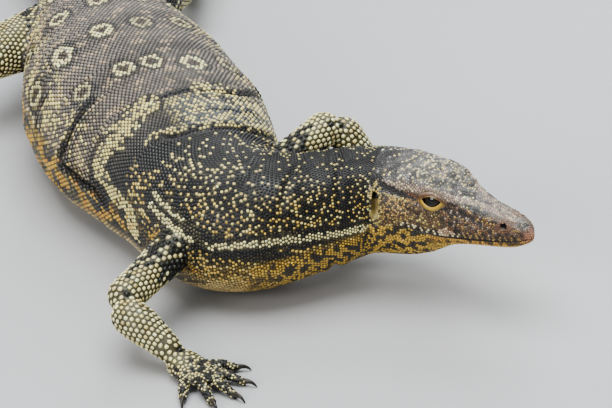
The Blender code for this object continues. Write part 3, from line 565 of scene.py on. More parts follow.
NOSTRIL = Pit(0.0172, 0.0738, 0.0026, 0.0019, 0.0042, 0.0006, 0.25)
EAR = Pit(0.1185, 0.0735, 0.0056, 0.0104, 0.0046, 0.0006, 0.10)
MOUTH_LINE = ((0.000, 0.0650), (0.012, 0.0636), (0.030, 0.0606), (0.050, 0.0580), (0.068, 0.0570), (0.080, 0.0586),
              (0.089, 0.0618))
MOUTH_HEIGHT = Curve(*np.array(MOUTH_LINE).T)


@dataclass
class HeadForm:
    """A shape raised on the head or sunk into it, along a line on the left side and its mirror image."""

    rise: float
    reach: float
    line: tuple[tuple[float, float, float], ...]


@dataclass
class HeadShell:
    """The hide of the head, open behind, with its ridges, lips, sockets, nostrils and ears."""

    rings: int = 190
    columns: int = 168
    mouth_column: int = 46
    groove: float = 0.0011
    forms: tuple[HeadForm, ...] = (
        HeadForm(0.0022, 0.0040, ((0.112, 0.025, 0.0925), (0.096, 0.0235, 0.0955), (0.086, 0.0215, 0.0955),
                                  (0.075, 0.0200, 0.0935), (0.062, 0.0165, 0.0890))),
        HeadForm(0.0015, 0.0040, ((0.083, 0.0212, 0.0956), (0.068, 0.0186, 0.0918))),
        HeadForm(0.0012, 0.0030, ((0.058, 0.0155, 0.0872), (0.044, 0.0128, 0.0832), (0.029, 0.0105, 0.0798))),
        HeadForm(-0.0018, 0.0080, ((0.0790, 0.0215, 0.0810), (0.0730, 0.0205, 0.0805))),
        HeadForm(-0.0020, 0.0075, ((0.088, 0.0250, 0.0845), (0.104, 0.0280, 0.0840))),
        HeadForm(-0.0013, 0.0050, ((0.060, 0.0185, 0.0790), (0.036, 0.0140, 0.0735))),
        HeadForm(0.0024, 0.0110, ((0.092, 0.0270, 0.0660), (0.108, 0.0290, 0.0670))),
        HeadForm(0.0008, 0.0030, ((0.006, 0.0095, 0.0680), (0.030, 0.0140, 0.0665), (0.055, 0.0180, 0.0640),
                                  (0.078, 0.0235, 0.0640))),
        HeadForm(0.0005, 0.0026, ((0.006, 0.0090, 0.0612), (0.030, 0.0135, 0.0585), (0.055, 0.0175, 0.0565),
                                  (0.078, 0.0225, 0.0570))),
        HeadForm(0.0010, 0.0050, ((0.010, 0.0085, 0.0735), (0.022, 0.0115, 0.0750))),
        HeadForm(-0.0008, 0.0065, ((0.060, 0.0, 0.0895), (0.086, 0.0, 0.0955))),
        HeadForm(0.0020, 0.0140, ((0.085, 0.0, 0.0460), (0.120, 0.0, 0.0440))),
        # Fine forms: the crease under the eye, the fold from the mouth's corner, and the ear's hind edge
        HeadForm(-0.0006, 0.0013, ((0.094, 0.0280, 0.0755), (0.084, 0.0262, 0.0725), (0.072, 0.0225, 0.0735))),
        HeadForm(-0.0007, 0.0013, ((0.090, 0.0290, 0.0615), (0.097, 0.0305, 0.0600), (0.104, 0.0325, 0.0610),
                                   (0.112, 0.0335, 0.0640))),
        HeadForm(0.0006, 0.0016, ((0.094, 0.0275, 0.0790), (0.083, 0.0255, 0.0745), (0.070, 0.0215, 0.0750))),
        HeadForm(-0.0006, 0.0012, ((0.030, 0.0035, 0.0800), (0.016, 0.0030, 0.0772))),
    )

    def build(self) -> tuple[bmesh.types.BMesh, BVHTree]:
        """The shell in the world, and a tree of its surface before the openings are sunk."""
        shell, _, t, turn = ball(self.columns, self.rings)
        local = self.laid_out(t, turn)
        put(shell, local)
        bmesh.ops.recalc_face_normals(shell, faces=shell.faces)
        for form in self.forms:
            points = places(shell)
            mirrored = points * np.array([1.0, -1.0, 1.0])
            near = np.minimum(distance_to_line(points, form.line), distance_to_line(mirrored, form.line))
            fade = np.clip((0.128 - points[:, 0]) / 0.014, 0, 1)
            lift = form.rise * np.exp(-((near / form.reach) ** 2)) * fade
            put(shell, points + normals(shell) * lift[:, None])
        points = places(shell)
        points -= normals(shell) * COAT_HEAD
        self.cut_groove(points, turn)
        s = points[:, 0].copy()
        for pit in (NOSTRIL, EAR):
            self.sink_pit(points, s, pit)
        world = SPINE.world(points[:, 0], points[:, 1], points[:, 2])
        put(shell, world)
        bmesh.ops.recalc_face_normals(shell, faces=shell.faces)
        for eye in EYES:
            self.raise_lids(world, eye)
        put(shell, world)
        shell.normal_update()
        before = BVHTree.FromBMesh(shell)
        for eye in EYES:
            self.sink_socket(world, eye)
        put(shell, world)
        shell.verts.ensure_lookup_table()
        bmesh.ops.delete(shell, geom=[shell.verts[int(np.argmax(t))]], context="VERTS")
        return shell, before

    def steps_down(self, turn: Array) -> Array:
        """How many columns down from the middle of the crown each place is."""
        return np.abs(np.degrees(np.arctan2(np.cos(turn), np.sin(turn)))) / (360 / self.columns)

    def laid_out(self, t: Array, turn: Array) -> Array:
        """Local places (behind the snout, side, height), with one column along the line of the mouth."""
        s = t ** 1.25 * (HEAD_END + 0.0008)
        local = np.zeros((len(t), 3))
        local[:, 0] = s
        steps = self.steps_down(turn)
        half = self.columns / 2
        for value in np.unique(np.round(t, 6)):
            rows = np.abs(t - value) < 2e-6
            here = float(s[rows][0])
            if value < 1e-6 or value > 1 - 1e-6:
                local[rows, 2] = (SPINE.top(here) + SPINE.bottom(here)) / 2
                continue
            mouth = SPINE.share_at(here, MOUTH_HEIGHT(min(here, 0.089)))
            mouth = mouth if here < 0.089 else mouth + (0.54 - mouth) * min(1.0, (here - 0.089) / 0.03)
            above = mouth * (1 - (1 - np.clip(steps[rows] / self.mouth_column, 0, 1)) ** 1.3)
            below = (np.clip(steps[rows] - self.mouth_column, 0, None) / (half - self.mouth_column)) ** 1.3
            share = above + (1 - mouth) * below
            side, height = SPINE.ring(here, share)
            local[rows, 1] = np.where(np.cos(turn[rows]) >= 0, side, -side)
            local[rows, 2] = height
        return local

    def cut_groove(self, points: Array, turn: Array) -> None:
        """Sinks the column of the mouth and rounds the lips beside it."""
        steps = self.steps_down(turn)
        away = np.abs(steps - self.mouth_column)
        end = 1 - smoothstep(0.086, 0.0915, points[:, 0])
        sink = np.select([away < 0.5, away < 1.5, away < 2.5, away < 3.5], [1.0, 0.12, -0.22, -0.12], 0.0)
        small = smoothstep(0.0, 0.006, points[:, 0]) * 0.6 + 0.4
        depth = self.groove * sink * end * small
        inward = np.column_stack([np.zeros(len(points)), -np.sign(points[:, 1]), np.zeros(len(points))])
        tip = 1 - smoothstep(0.0, 0.004, points[:, 0])
        inward[:, 1] *= 1 - tip
        inward[:, 0] = tip
        points += inward * depth[:, None]

    @staticmethod
    def sink_pit(points: Array, s: Array, pit: Pit) -> None:
        """Sinks one kind of opening into both sides of the head."""
        reach = pit.reach(s, points[:, 2])
        inside = 1 - smoothstep(0.62, 1.02, reach)
        edge = np.exp(-(((reach - 1.22) / 0.20) ** 2))
        middle = points[:, 2] > 0.045
        move = np.where(middle, pit.depth * inside - pit.rim * edge, 0.0)
        close = np.abs(s - pit.behind_snout) < pit.half_length * 2.5
        points[:, 1] -= np.sign(points[:, 1]) * np.where(close, move, 0.0)

    @staticmethod
    def raise_lids(world: Array, eye: EyeFit) -> None:
        """Swells the hide over the eyeball, as the lids do."""
        place = eye.local(world)
        long, out, tall = eye.lid_radii
        fit = 1 - (place[:, 0] / long) ** 2 - (place[:, 2] / tall) ** 2
        swell = (out - COAT_HEAD) * np.sqrt(np.clip(fit, 0, None))
        near = (place[:, 1] > 0) & (fit > 0) & (np.linalg.norm(place, axis=1) < 0.02)
        lift = np.where(near, np.clip(swell - place[:, 1], 0, None), 0.0)
        world += lift[:, None] * eye.axes[1]

    @staticmethod
    def sink_socket(world: Array, eye: EyeFit) -> None:
        """Sinks the hide behind the opening between the lids."""
        place = eye.local(world)
        gap = eye.outside(place[:, 0], place[:, 2])
        near = (place[:, 1] > 0) & (np.linalg.norm(place, axis=1) < 0.02)
        sunk = 1 - smoothstep(0.0002, 0.0022, gap)
        floor = 0.0040
        move = np.where(near, np.clip(place[:, 1] - floor, 0, None) * sunk, 0.0)
        world -= move[:, None] * eye.axes[1]


@dataclass(frozen=True)
class Fold:
    """A crease in the hide: how deep, how wide, how high its lips are, and its line as (s, share)."""

    depth: float
    reach: float
    lips: float
    line: tuple[tuple[float, float], ...]

    @property
    def on_head(self) -> bool:
        """Whether the crease runs onto the head."""
        return min(s for s, _ in self.line) < 0.135

    def flat(self) -> Array:
        """The crease as places behind the snout and metres over the hide from the back."""
        line = np.array(self.line)
        return np.column_stack([line[:, 0], line[:, 1] * SPINE.half_girth(line[:, 0])])

    def path(self) -> Array:
        """World points of a smooth curve along the crease."""
        line = SPINE.on_hide(list(self.line))
        t = np.linspace(0, 1, len(line))
        return np.column_stack([Curve(t, line[:, k])(np.linspace(0, 1, 6 * len(line))) for k in range(3)])


@dataclass
class Skin:
    """The one hide that stands for all the flesh, from the snout to the tip of the tail."""

    voxel: float = 0.0021
    deep: float = 0.0017
    triangles: int = 112000
    front: float = 0.095
    cut: float = 0.1330
    folds: tuple[Fold, ...] = (
        Fold(0.0026, 0.0030, 0.0013, ((0.295, -0.170), (0.292, -0.130), (0.286, -0.078), (0.285, 0.0), (0.284, 0.065),
                                      (0.283, 0.142), (0.284, 0.212), (0.292, 0.283), (0.303, 0.361), (0.318, 0.43))),
        Fold(0.0017, 0.0028, 0.0009, ((0.345, -0.110), (0.343, -0.057), (0.342, 0.031), (0.339, 0.105), (0.337, 0.166),
                                      (0.343, 0.259), (0.370, 0.396))),
        Fold(0.0010, 0.0026, 0.0005, ((0.312, -0.02), (0.311, 0.08), (0.310, 0.19), (0.318, 0.30))),
        Fold(0.0028, 0.0024, 0.0013, ((0.383, -0.235), (0.382, -0.294), (0.382, -0.337), (0.381, -0.372),
                                      (0.382, -0.417), (0.386, -0.452), (0.385, -0.476), (0.371, -0.489),
                                      (0.357, -0.494), (0.337, -0.496), (0.320, -0.52))),
        Fold(0.0022, 0.0024, 0.0012, ((0.384, 0.330), (0.382, 0.390), (0.386, 0.450), (0.365, 0.490), (0.340, 0.500))),
        Fold(0.0010, 0.0024, 0.0006, ((0.205, -0.34), (0.198, -0.153), (0.188, -0.02), (0.184, 0.16))),
        Fold(0.0008, 0.0022, 0.0005, ((0.168, -0.40), (0.164, -0.20), (0.160, 0.0), (0.158, 0.20))),
        Fold(0.0010, 0.0024, 0.0006, ((0.228, -0.30), (0.222, -0.12), (0.216, 0.04), (0.214, 0.20))),
        Fold(0.0014, 0.0022, 0.0009, ((0.186, 0.28), (0.188, 0.50), (0.190, 0.78))),
        Fold(0.0018, 0.0022, 0.0011, ((0.204, 0.24), (0.206, 0.50), (0.208, 0.80))),
        Fold(0.0020, 0.0022, 0.0012, ((0.222, 0.22), (0.224, 0.50), (0.226, 0.78))),
        Fold(0.0016, 0.0022, 0.0010, ((0.240, 0.26), (0.242, 0.42))),
        Fold(0.0018, 0.0030, 0.0010, ((0.176, -0.62), (0.172, -0.80), (0.170, -1.0))),
        Fold(0.0018, 0.0030, 0.0010, ((0.176, 0.62), (0.172, 0.80), (0.170, 1.0))),
        Fold(0.0012, 0.0034, 0.0008, ((0.400, -0.56), (0.450, -0.585), (0.500, -0.59), (0.550, -0.57))),
        Fold(0.0012, 0.0034, 0.0008, ((0.400, 0.56), (0.450, 0.585), (0.500, 0.59), (0.550, 0.57))),
        Fold(0.0009, 0.0026, 0.0005, ((0.432, -0.30), (0.436, -0.40), (0.430, -0.50))),
        Fold(0.0009, 0.0026, 0.0005, ((0.425, 0.28), (0.432, 0.40), (0.428, 0.50))),
        Fold(0.0009, 0.0020, 0.0005, ((0.140, -0.36), (0.136, -0.44), (0.128, -0.50), (0.118, -0.53))),
        Fold(0.0009, 0.0020, 0.0005, ((0.140, 0.36), (0.136, 0.44), (0.128, 0.50), (0.118, 0.53))),
    )

    def build(self) -> tuple[bpy.types.Object, BVHTree]:
        """The skin as one closed mesh, and a tree of the head before its eye sockets are sunk."""
        head, head_tree = HeadShell().build()
        body = self.body()
        self.trim(body)
        rims = [sum(e.is_boundary for e in shape.edges) for shape in (head, body)]
        merge(body, head)
        boundary = [e for e in body.edges if e.is_boundary]
        bmesh.ops.bridge_loops(body, edges=boundary)
        set_order(body)
        log.info("skin: rims of %s edges joined, %d left open", rims, sum(e.is_boundary for e in body.edges))
        points = places(body)
        s, side, _, _, _ = SPINE.locate(points)
        seam = (np.abs(s - HEAD_END - 0.001) < 0.0035) & (np.abs(side) < 0.045)
        verts = [v for v, near in zip(body.verts, seam.tolist()) if near]
        for _ in range(6):
            bmesh.ops.smooth_vert(body, verts=verts, factor=0.5, use_axis_x=True, use_axis_y=True, use_axis_z=True)
        bmesh.ops.recalc_face_normals(body, faces=body.faces)
        self.crease(body, [fold for fold in self.folds if fold.on_head])
        points = places(body)
        points[:, 2] = np.maximum(points[:, 2], FLOOR_CLEAR)
        put(body, points)
        return piece_of("skin", body), head_tree

    def body(self) -> bmesh.types.BMesh:
        """Neck, trunk, tail and legs grown together, sunk by the depth of their scales."""
        whole = self.loft()
        for limb in LIMBS:
            for part in self.leg_parts(limb):
                merge(whole, part)
        made = piece_of("body_whole", whole)
        fuse = made.modifiers.new("fuse", "REMESH")
        fuse.mode = "VOXEL"
        fuse.voxel_size = self.voxel
        relax = made.modifiers.new("relax", "SMOOTH")
        relax.factor = 0.5
        relax.iterations = 3
        mesh = self.baked(made)
        shape = bmesh.new()
        shape.from_mesh(mesh)
        self.refine(shape)
        self.crease(shape, [fold for fold in self.folds if not fold.on_head])
        bmesh.ops.triangulate(shape, faces=shape.faces)
        shape.to_mesh(mesh)
        shape.free()
        thin = made.modifiers.new("thin", "DECIMATE")
        thin.ratio = self.triangles / len(mesh.polygons)
        mesh = self.baked(made)
        shape = bmesh.new()
        shape.from_mesh(mesh)
        bpy.data.objects.remove(made)
        bpy.data.meshes.remove(mesh)
        bmesh.ops.triangulate(shape, faces=shape.faces)
        put(shape, places(shape) - normals(shape) * COAT_BODY)
        return shape

    @staticmethod
    def baked(made: bpy.types.Object) -> bpy.types.Mesh:
        """Replaces the object's mesh by what its modifiers make."""
        graph = bpy.context.evaluated_depsgraph_get()
        graph.update()
        result = bpy.data.meshes.new_from_object(made.evaluated_get(graph))
        made.modifiers.clear()
        old, made.data = made.data, result
        bpy.data.meshes.remove(old)
        return result

    def loft(self) -> bmesh.types.BMesh:
        """Neck, trunk and tail as one closed form along the spine."""
        shape, points, t, turn = ball(96, 320)
        away = np.abs(np.degrees(np.arctan2(np.cos(turn), np.sin(turn)))) / 180
        s = self.front + t * (TAIL_TIP - self.front)
        laid = np.zeros_like(points)
        for value in np.unique(np.round(t, 6)):
            rows = np.abs(t - value) < 2e-6
            here = float(s[rows][0])
            if value < 1e-6 or value > 1 - 1e-6:
                laid[rows] = SPINE.world(here, 0.0, (SPINE.top(here) + SPINE.bottom(here)) / 2)
                continue
            side, height = SPINE.ring(here, away[rows])
            laid[rows] = SPINE.world(here, np.where(np.cos(turn[rows]) >= 0, side, -side), height)
        put(shape, laid)
        bmesh.ops.recalc_face_normals(shape, faces=shape.faces)
        return shape

    def leg_parts(self, limb: Limb) -> list[bmesh.types.BMesh]:
        """The long parts of a leg, its foot and its digits, each a closed tube that runs into the next."""
        root, elbow, wrist = limb.bends
        inside = root - 0.35 * limb.upper[0] * direction(*limb.upper[1:])
        inside[2] = root[2]
        parts = [tube([inside, root, (root + elbow) / 2, elbow], limb.upper_radii,
                      [r * 0.96 for r in limb.upper_radii])]
        bulge = elbow + 0.4 * (wrist - elbow) + np.array([0, 0, 0.0015])
        parts.append(tube([elbow, bulge, wrist], limb.lower_radii, [r * 0.94 for r in limb.lower_radii]))
        ahead = direction(limb.foot_yaw)
        heel = wrist - ahead * 0.008
        heel[2] = limb.back_height
        front = wrist + ahead * limb.foot_length * 0.95
        front[2] = limb.knuckle_height - limb.sole_sink
        middle = (heel + front) / 2
        wide = limb.foot_half_width
        parts.append(tube([heel, middle, front], (wide * 0.66, wide * 0.95, wide),
                          [p[2] + limb.sole_sink / 2 for p in (heel, middle, front)]))
        for knuckle, tip, yaw in limb.digits:
            along = tip - knuckle
            start = knuckle - direction(yaw) * 0.009
            start[2] = limb.knuckle_height - 0.001
            first = knuckle + along * 0.30
            first[2] = limb.knuckle_height + 0.0006
            second = knuckle + along * 0.70
            second[2] = (limb.knuckle_height + tip[2]) / 2 + 0.0006
            r = limb.digit_radius
            parts.append(tube([start, first, second, tip + direction(yaw) * 0.0015],
                              (r, r * 1.05, r * 0.86, r * 0.98, r * 0.80, r * 0.88),
                              (r, r * 1.02, r * 0.86, r * 0.94, r * 0.80, r * 0.86), rings=20, segments=16))
        return parts

    def trim(self, body: bmesh.types.BMesh) -> None:
        """Cuts the body open where the head's shell takes over."""
        points = places(body)
        s, side, height, _, _ = SPINE.locate(points)
        near = (s < self.cut + 0.012) & (np.abs(side) < 0.047) & (height > 0.018)
        members = {v for v, inside in zip(body.verts, near.tolist()) if inside}
        geometry = [f for f in body.faces if all(v in members for v in f.verts)]
        # Kept in the mesh's own order, because the order of a set changes from run to run
        edges = list(dict.fromkeys(e for f in geometry for e in f.edges))
        verts = [v for v in body.verts if v in members]
        centre, forward, _ = SPINE.frame(np.array(self.cut))
        point, normal = Vector((*centre, 0.06)), Vector((*forward, 0.0))
        bmesh.ops.bisect_plane(body, geom=verts + edges + geometry, dist=1e-6, plane_co=point, plane_no=normal)
        points = places(body)
        s, side, height, _, _ = SPINE.locate(points)
        ahead = (points[:, :2] - centre) @ forward
        cut_off = (ahead > 1e-5) & (s < self.cut + 0.012) & (np.abs(side) < 0.047) & (height > 0.018)
        extra = [v for v, gone in zip(body.verts, cut_off.tolist()) if gone]
        bmesh.ops.delete(body, geom=extra, context="VERTS")

    def refine(self, body: bmesh.types.BMesh) -> None:
        """Divides the hide into smaller faces along the folds, twice along the deep ones."""
        for low in (0.0, self.deep):
            points = places(body)
            near = np.zeros(len(points), bool)
            for fold in self.folds:
                if fold.depth >= low:
                    near |= distance_to_line(points, fold.path()) < 3.2 * fold.reach
            chosen = {v for v, inside in zip(body.verts, near.tolist()) if inside}
            edges = [e for e in body.edges if e.verts[0] in chosen and e.verts[1] in chosen]
            bmesh.ops.subdivide_edges(body, edges=edges, cuts=1, use_grid_fill=True)

    @staticmethod
    def crease(body: bmesh.types.BMesh, folds: list[Fold]) -> None:
        """Presses the folds into the hide."""
        points, outward = places(body), normals(body)
        move = np.zeros(len(points))
        for fold in folds:
            fine = fold.path()
            low, high = fine.min(axis=0) - 0.02, fine.max(axis=0) + 0.02
            rows = np.where(((points > low) & (points < high)).all(axis=1))[0]
            far = distance_to_line(points[rows], fine)
            ends = np.minimum(np.linalg.norm(points[rows] - fine[0], axis=1),
                              np.linalg.norm(points[rows] - fine[-1], axis=1))
            press = fold.depth * np.exp(-((far / fold.reach) ** 2))
            swell = fold.lips * np.exp(-(((far - 2.3 * fold.reach) / (1.1 * fold.reach)) ** 2))
            lift = (swell - press) * smoothstep(0.0, 0.012, ends)
            move[rows] += np.where(far < 5 * fold.reach, lift, 0.0)
        put(body, points + outward * move[:, None])


def tube(path: list[Array], widths: tuple, heights: list, rings: int = 30, segments: int = 28) -> bmesh.types.BMesh:
    """A closed tube along a smooth path, rounded at both ends.

    Args:
        path: places that its middle runs through.
        widths: half widths at evenly spaced shares of its length.
        heights: half heights in the same way.
        rings: how many rings it has.
        segments: how many points each ring has.
    """
    path = np.asarray(path, float)
    lengths = np.concatenate([[0.0], np.cumsum(np.linalg.norm(np.diff(path, axis=0), axis=1))])
    total = lengths[-1]
    axes = [Curve(lengths / total, path[:, k]) for k in range(3)]
    stops = np.linspace(0, 1, len(widths))
    shape, points, _, turn = ball(segments, rings)
    t = (1 - np.clip(points[:, 2], -1, 1)) / 2
    centre, ahead, behind = (np.stack([axis(np.clip(t + d, 0, 1)) for axis in axes], axis=-1)
                             for d in (0.0, 0.01, -0.01))
    along = unit(ahead - behind)
    side = unit(np.cross(UP, along))
    lift = np.cross(along, side)
    width, height = Curve(stops, widths)(t), Curve(stops, heights)(t)
    ends = np.minimum(np.clip(t * total / width, 0, 1), np.clip((1 - t) * total / width, 0, 1))
    full = np.where((t <= 1e-6) | (t >= 1 - 1e-6), 0.0, np.sqrt(1 - (1 - ends) ** 2))
    put(shape, centre + (width * full * np.cos(turn))[:, None] * side + (height * full * np.sin(turn))[:, None] * lift)
    bmesh.ops.recalc_face_normals(shape, faces=shape.faces)
    return shape


@dataclass
class Lids:
    """The thick edges round one eye, laid over the head's hide."""

    eye: EyeFit
    segments: int = 112
    # Outside the slit and above the hide, in millimetres, from the eyeball outwards
    lower: tuple[tuple[float, float], ...] = ((-0.40, -9.0), (-0.10, -0.45), (0.30, 0.20), (1.05, 0.52), (2.10, 0.62),
                                              (3.00, 0.42), (3.60, -0.05), (4.20, 0.00), (5.00, -0.90))
    upper: tuple[tuple[float, float], ...] = ((-0.40, -9.0), (-0.10, -0.45), (0.20, 0.12), (0.55, 0.22), (0.95, -0.10),
                                              (1.50, 0.35), (2.50, 0.65), (3.50, 0.35), (4.70, -0.90))
    hidden: tuple[float, float] = (2.4, -3.2)
    ochre: tuple[float, float, float] = (0.56, 0.36, 0.038)
    yellow_edge: tuple[float, float, float] = (0.36, 0.22, 0.06)
    brown: tuple[float, float, float] = (0.075, 0.032, 0.012)
    # dark is painted shade where it shows: on the slit's inner wall against the eyeball and along the crease just above
    # the slit
    dark: tuple[float, float, float] = (0.012, 0.009, 0.007)

    def build(self, name: str, tree: BVHTree, material: bpy.types.Material) -> bpy.types.Object:
        """Lays the rows of the lids round the slit and closes them behind.

        Args:
            name: the piece's name.
            tree: the head's surface before the socket was sunk.
            material: the finish.
        """
        eye = self.eye
        shape = bmesh.new()
        turn = np.linspace(0, 2 * math.pi, self.segments, endpoint=False)
        share = smoothstep(-0.25, 0.25, np.sin(turn))
        loops, tones = [], []
        for row in range(len(self.lower) + 1):
            if row < len(self.lower):
                low, high = np.array(self.lower[row]), np.array(self.upper[row])
            else:
                low = high = np.array(self.hidden)
            out, lift = ((low[k] * (1 - share) + high[k] * share) / 1000 for k in (0, 1))
            reach = eye.edge(turn) + out
            along, up = reach * np.cos(turn), reach * np.sin(turn)
            ball = np.sqrt(np.clip(eye.radius ** 2 - along ** 2 - up ** 2, 0.0022 ** 2, None))
            hide = self.hide_height(tree, along, up)
            depth = ball - 0.0004 if row == 0 else np.maximum(hide + lift, ball + 0.00015)
            if row == len(self.lower):
                depth = ball - 0.0002
            points = eye.centre + np.stack([along, depth, up], axis=1) @ eye.axes
            made = bmesh.ops.create_circle(shape, segments=self.segments, radius=1.0)["verts"]
            for vertex, place in zip(made, points.tolist()):
                vertex.co = place
            ring = set(made)
            linked = dict.fromkeys(e for v in made for e in v.link_edges)
            loops.append([e for e in linked if all(v in ring for v in e.verts)])
            tones.append(self.row_tone(row, share, turn))
        for k in range(len(loops)):
            bmesh.ops.bridge_loops(shape, edges=loops[k] + loops[(k + 1) % len(loops)])
        bmesh.ops.recalc_face_normals(shape, faces=shape.faces)
        made = piece_of(name, shape, material)
        set_tone(made.data, np.concatenate(tones))
        return made

    def hide_height(self, tree: BVHTree, along: Array, up: Array) -> Array:
        """How far out of the eye's middle the head's hide is at each place."""
        eye = self.eye
        inward = Vector(-eye.axes[1])
        found = []
        for x, z in zip(along, up):
            start = eye.centre + eye.axes.T @ np.array([x, 0.03, z])
            hit = tree.ray_cast(Vector(start), inward, 0.03)[0]
            found.append(0.006 if hit is None else float(eye.local(np.array(hit)[None])[0, 1]))
        found = np.array(found)
        for _ in range(3):
            found = (np.roll(found, 1) + 2 * found + np.roll(found, -1)) / 4
        return found

    def row_tone(self, row: int, upper: Array, turn: Array) -> Array:
        """The colours of one row of the lids, with painted shade in the slit's corners, on its inner wall against the
        eyeball and along the crease just above the slit.
        """
        ochre, edge, brown, dark = (np.array(c) for c in (self.ochre, self.yellow_edge, self.brown, self.dark))
        # painted shade: rows 0 and 1, the slit's inner wall, are dark, and so is row 4 of the upper lid, the crease
        # just above the slit
        low = (dark, dark, ochre, ochre, ochre * 0.85, ochre * 0.5, brown * 0.8, brown * 1.4, brown, dark)[row]
        high = (dark, dark, edge, edge * 0.8, dark, brown, brown * 2.0, brown * 1.6, brown, dark)[row]
        # painted shade: the slit's corners are darkened towards brown
        corner = smoothstep(0.80, 0.98, np.abs(np.cos(turn)))[:, None] * (0.75 if row > 1 else 0.0)
        tone = low * (1 - upper[:, None]) + high * upper[:, None]
        corner = corner * (0.25 + 0.75 * upper[:, None])
        return tone * (1 - corner) + brown * 0.6 * corner


@dataclass
class Eyeball:
    """One eye: a dark iris with a round pupil under a clear bulge."""

    eye: EyeFit
    bulge: float = 0.00045
    bulge_reach: float = 0.0055

    def build(self, name: str, material: bpy.types.Material) -> bpy.types.Object:
        """A ball with its pole on the line of sight, which carries the angle from it as an attribute."""
        shape, points, away, _ = ball(48, 40)
        reach = np.hypot(points[:, 0], points[:, 1]) * self.eye.radius
        front = points[:, 2] > 0
        size = self.eye.radius - 0.0001 + np.where(front, self.bulge * np.exp(-((reach / self.bulge_reach) ** 4)), 0.0)
        local = points[:, [0, 2, 1]] * size[:, None]
        put(shape, self.eye.centre + local @ self.eye.axes)
        bmesh.ops.recalc_face_normals(shape, faces=shape.faces)
        made = piece_of(name, shape, material)
        set_values(made.data, "sight", away)
        return made


@dataclass
class ClawSet:
    """The five claws of one foot, curved, tapered and sharp."""

    limb: Limb
    length: float = 0.0115
    base_height: float = 0.0031
    base_radius: float = 0.0026
    tip_radius: float = 0.00028
    start_pitch: float = 24.0
    end_pitch: float = -62.0
    rings: int = 18
    segments: int = 14

    def build(self, name: str, material: bpy.types.Material) -> bpy.types.Object:
        """All five claws as one piece, which carries how near the tip each point is."""
        whole = bmesh.new()
        reach = []
        for _, tip, yaw in self.limb.digits:
            shape, _, t, turn = ball(self.segments, self.rings)
            steps = np.linspace(0, 1, 41)
            pitch = np.radians(self.start_pitch + (self.end_pitch - self.start_pitch) * steps)
            stride = self.length / 40
            ahead = np.concatenate([[0.0], np.cumsum(np.cos(pitch[:-1]) * stride)])
            rise = np.concatenate([[0.0], np.cumsum(np.sin(pitch[:-1]) * stride)])
            here = np.interp(t, steps, pitch)
            size = self.tip_radius + (self.base_radius - self.tip_radius) * (1 - t) ** 0.85
            size = size * np.sqrt(np.clip(t / 0.04, 0, 1)) * np.sqrt(np.clip((1 - t) / 0.03, 0, 1))
            across, lift = size * np.cos(turn) * 0.72, size * np.sin(turn)
            lift = np.where(lift < 0, lift * 0.8, lift)
            forward = np.interp(t, steps, ahead) - np.sin(here) * lift
            high = np.interp(t, steps, rise) + np.cos(here) * lift
            base = tip - direction(yaw) * 0.0012
            base[2] = self.base_height
            put(shape, base + forward[:, None] * direction(yaw) + across[:, None] * direction(yaw + 90)
                + np.maximum(high, 0.0004 - self.base_height)[:, None] * UP)
            bmesh.ops.recalc_face_normals(shape, faces=shape.faces)
            merge(whole, shape)
            reach.append(t)
        made = piece_of(name, whole, material)
        set_values(made.data, "reach", np.concatenate(reach))
        return made


class Region(IntEnum):
    """The parts of the hide that carry scales of their own kind."""

    HEAD = 0
    NECK = 1
    TRUNK = 2
    TAIL = 3
    LEG = 4


class Surface:
    """The triangles of the hide and lids, to lay scales on."""

    def __init__(self, pieces: list[bpy.types.Object]) -> None:
        """Gathers the pieces' triangles, their normals and a tree that finds the nearest one."""
        points, tris, normal, base = [], [], [], 0
        self.counts = []
        for piece in pieces:
            data = piece.data
            data.calc_loop_triangles()
            points.append(read(data.vertices, "co"))
            normal.append(read(data.vertices, "normal"))
            tris.append(read(data.loop_triangles, "vertices", np.int32) + base)
            base += len(data.vertices)
            self.counts.append(len(data.loop_triangles))
        self.points = np.concatenate(points).astype(float)
        self.normals = np.concatenate(normal).astype(float)
        self.tris = np.concatenate(tris)
        self.tree = BVHTree.FromPolygons(self.points.tolist(), self.tris.tolist())

    def nearest(self, wanted: Array) -> tuple[Array, Array, Array]:
        """The nearest place on the hide to each point, its triangle and the distance."""
        found = [self.tree.find_nearest(p) for p in wanted.tolist()]
        return (np.array([f[0] for f in found]), np.array([f[2] for f in found]), np.array([f[3] for f in found]))

    def normal_at(self, points: Array, tri: Array) -> Array:
        """Smooth normals at places in the given triangles."""
        corners = self.tris[tri]
        a, b, c = (self.points[corners[:, k]] for k in range(3))
        near = np.stack([1 / (np.linalg.norm(points - q, axis=1) + 1e-5) for q in (a, b, c)], axis=1)
        near /= near.sum(axis=1, keepdims=True)
        return unit((self.normals[corners] * near[:, :, None]).sum(axis=1))

    def sample(self, chance: Array, count: int, rng: np.random.Generator) -> tuple[Array, Array]:
        """Random places, as many in each triangle as its chance says."""
        share = np.cumsum(chance)
        tri = np.searchsorted(share, rng.random(count) * share[-1])
        u, v = rng.random(count), rng.random(count)
        fold = u + v > 1
        u[fold], v[fold] = 1 - u[fold], 1 - v[fold]
        a, b, c = (self.points[self.tris[tri, k]] for k in range(3))
        return a + u[:, None] * (b - a) + v[:, None] * (c - a), tri

    def areas(self) -> Array:
        """The area of each triangle."""
        a, b, c = (self.points[self.tris[:, k]] for k in range(3))
        return np.linalg.norm(np.cross(b - a, c - a), axis=1) / 2


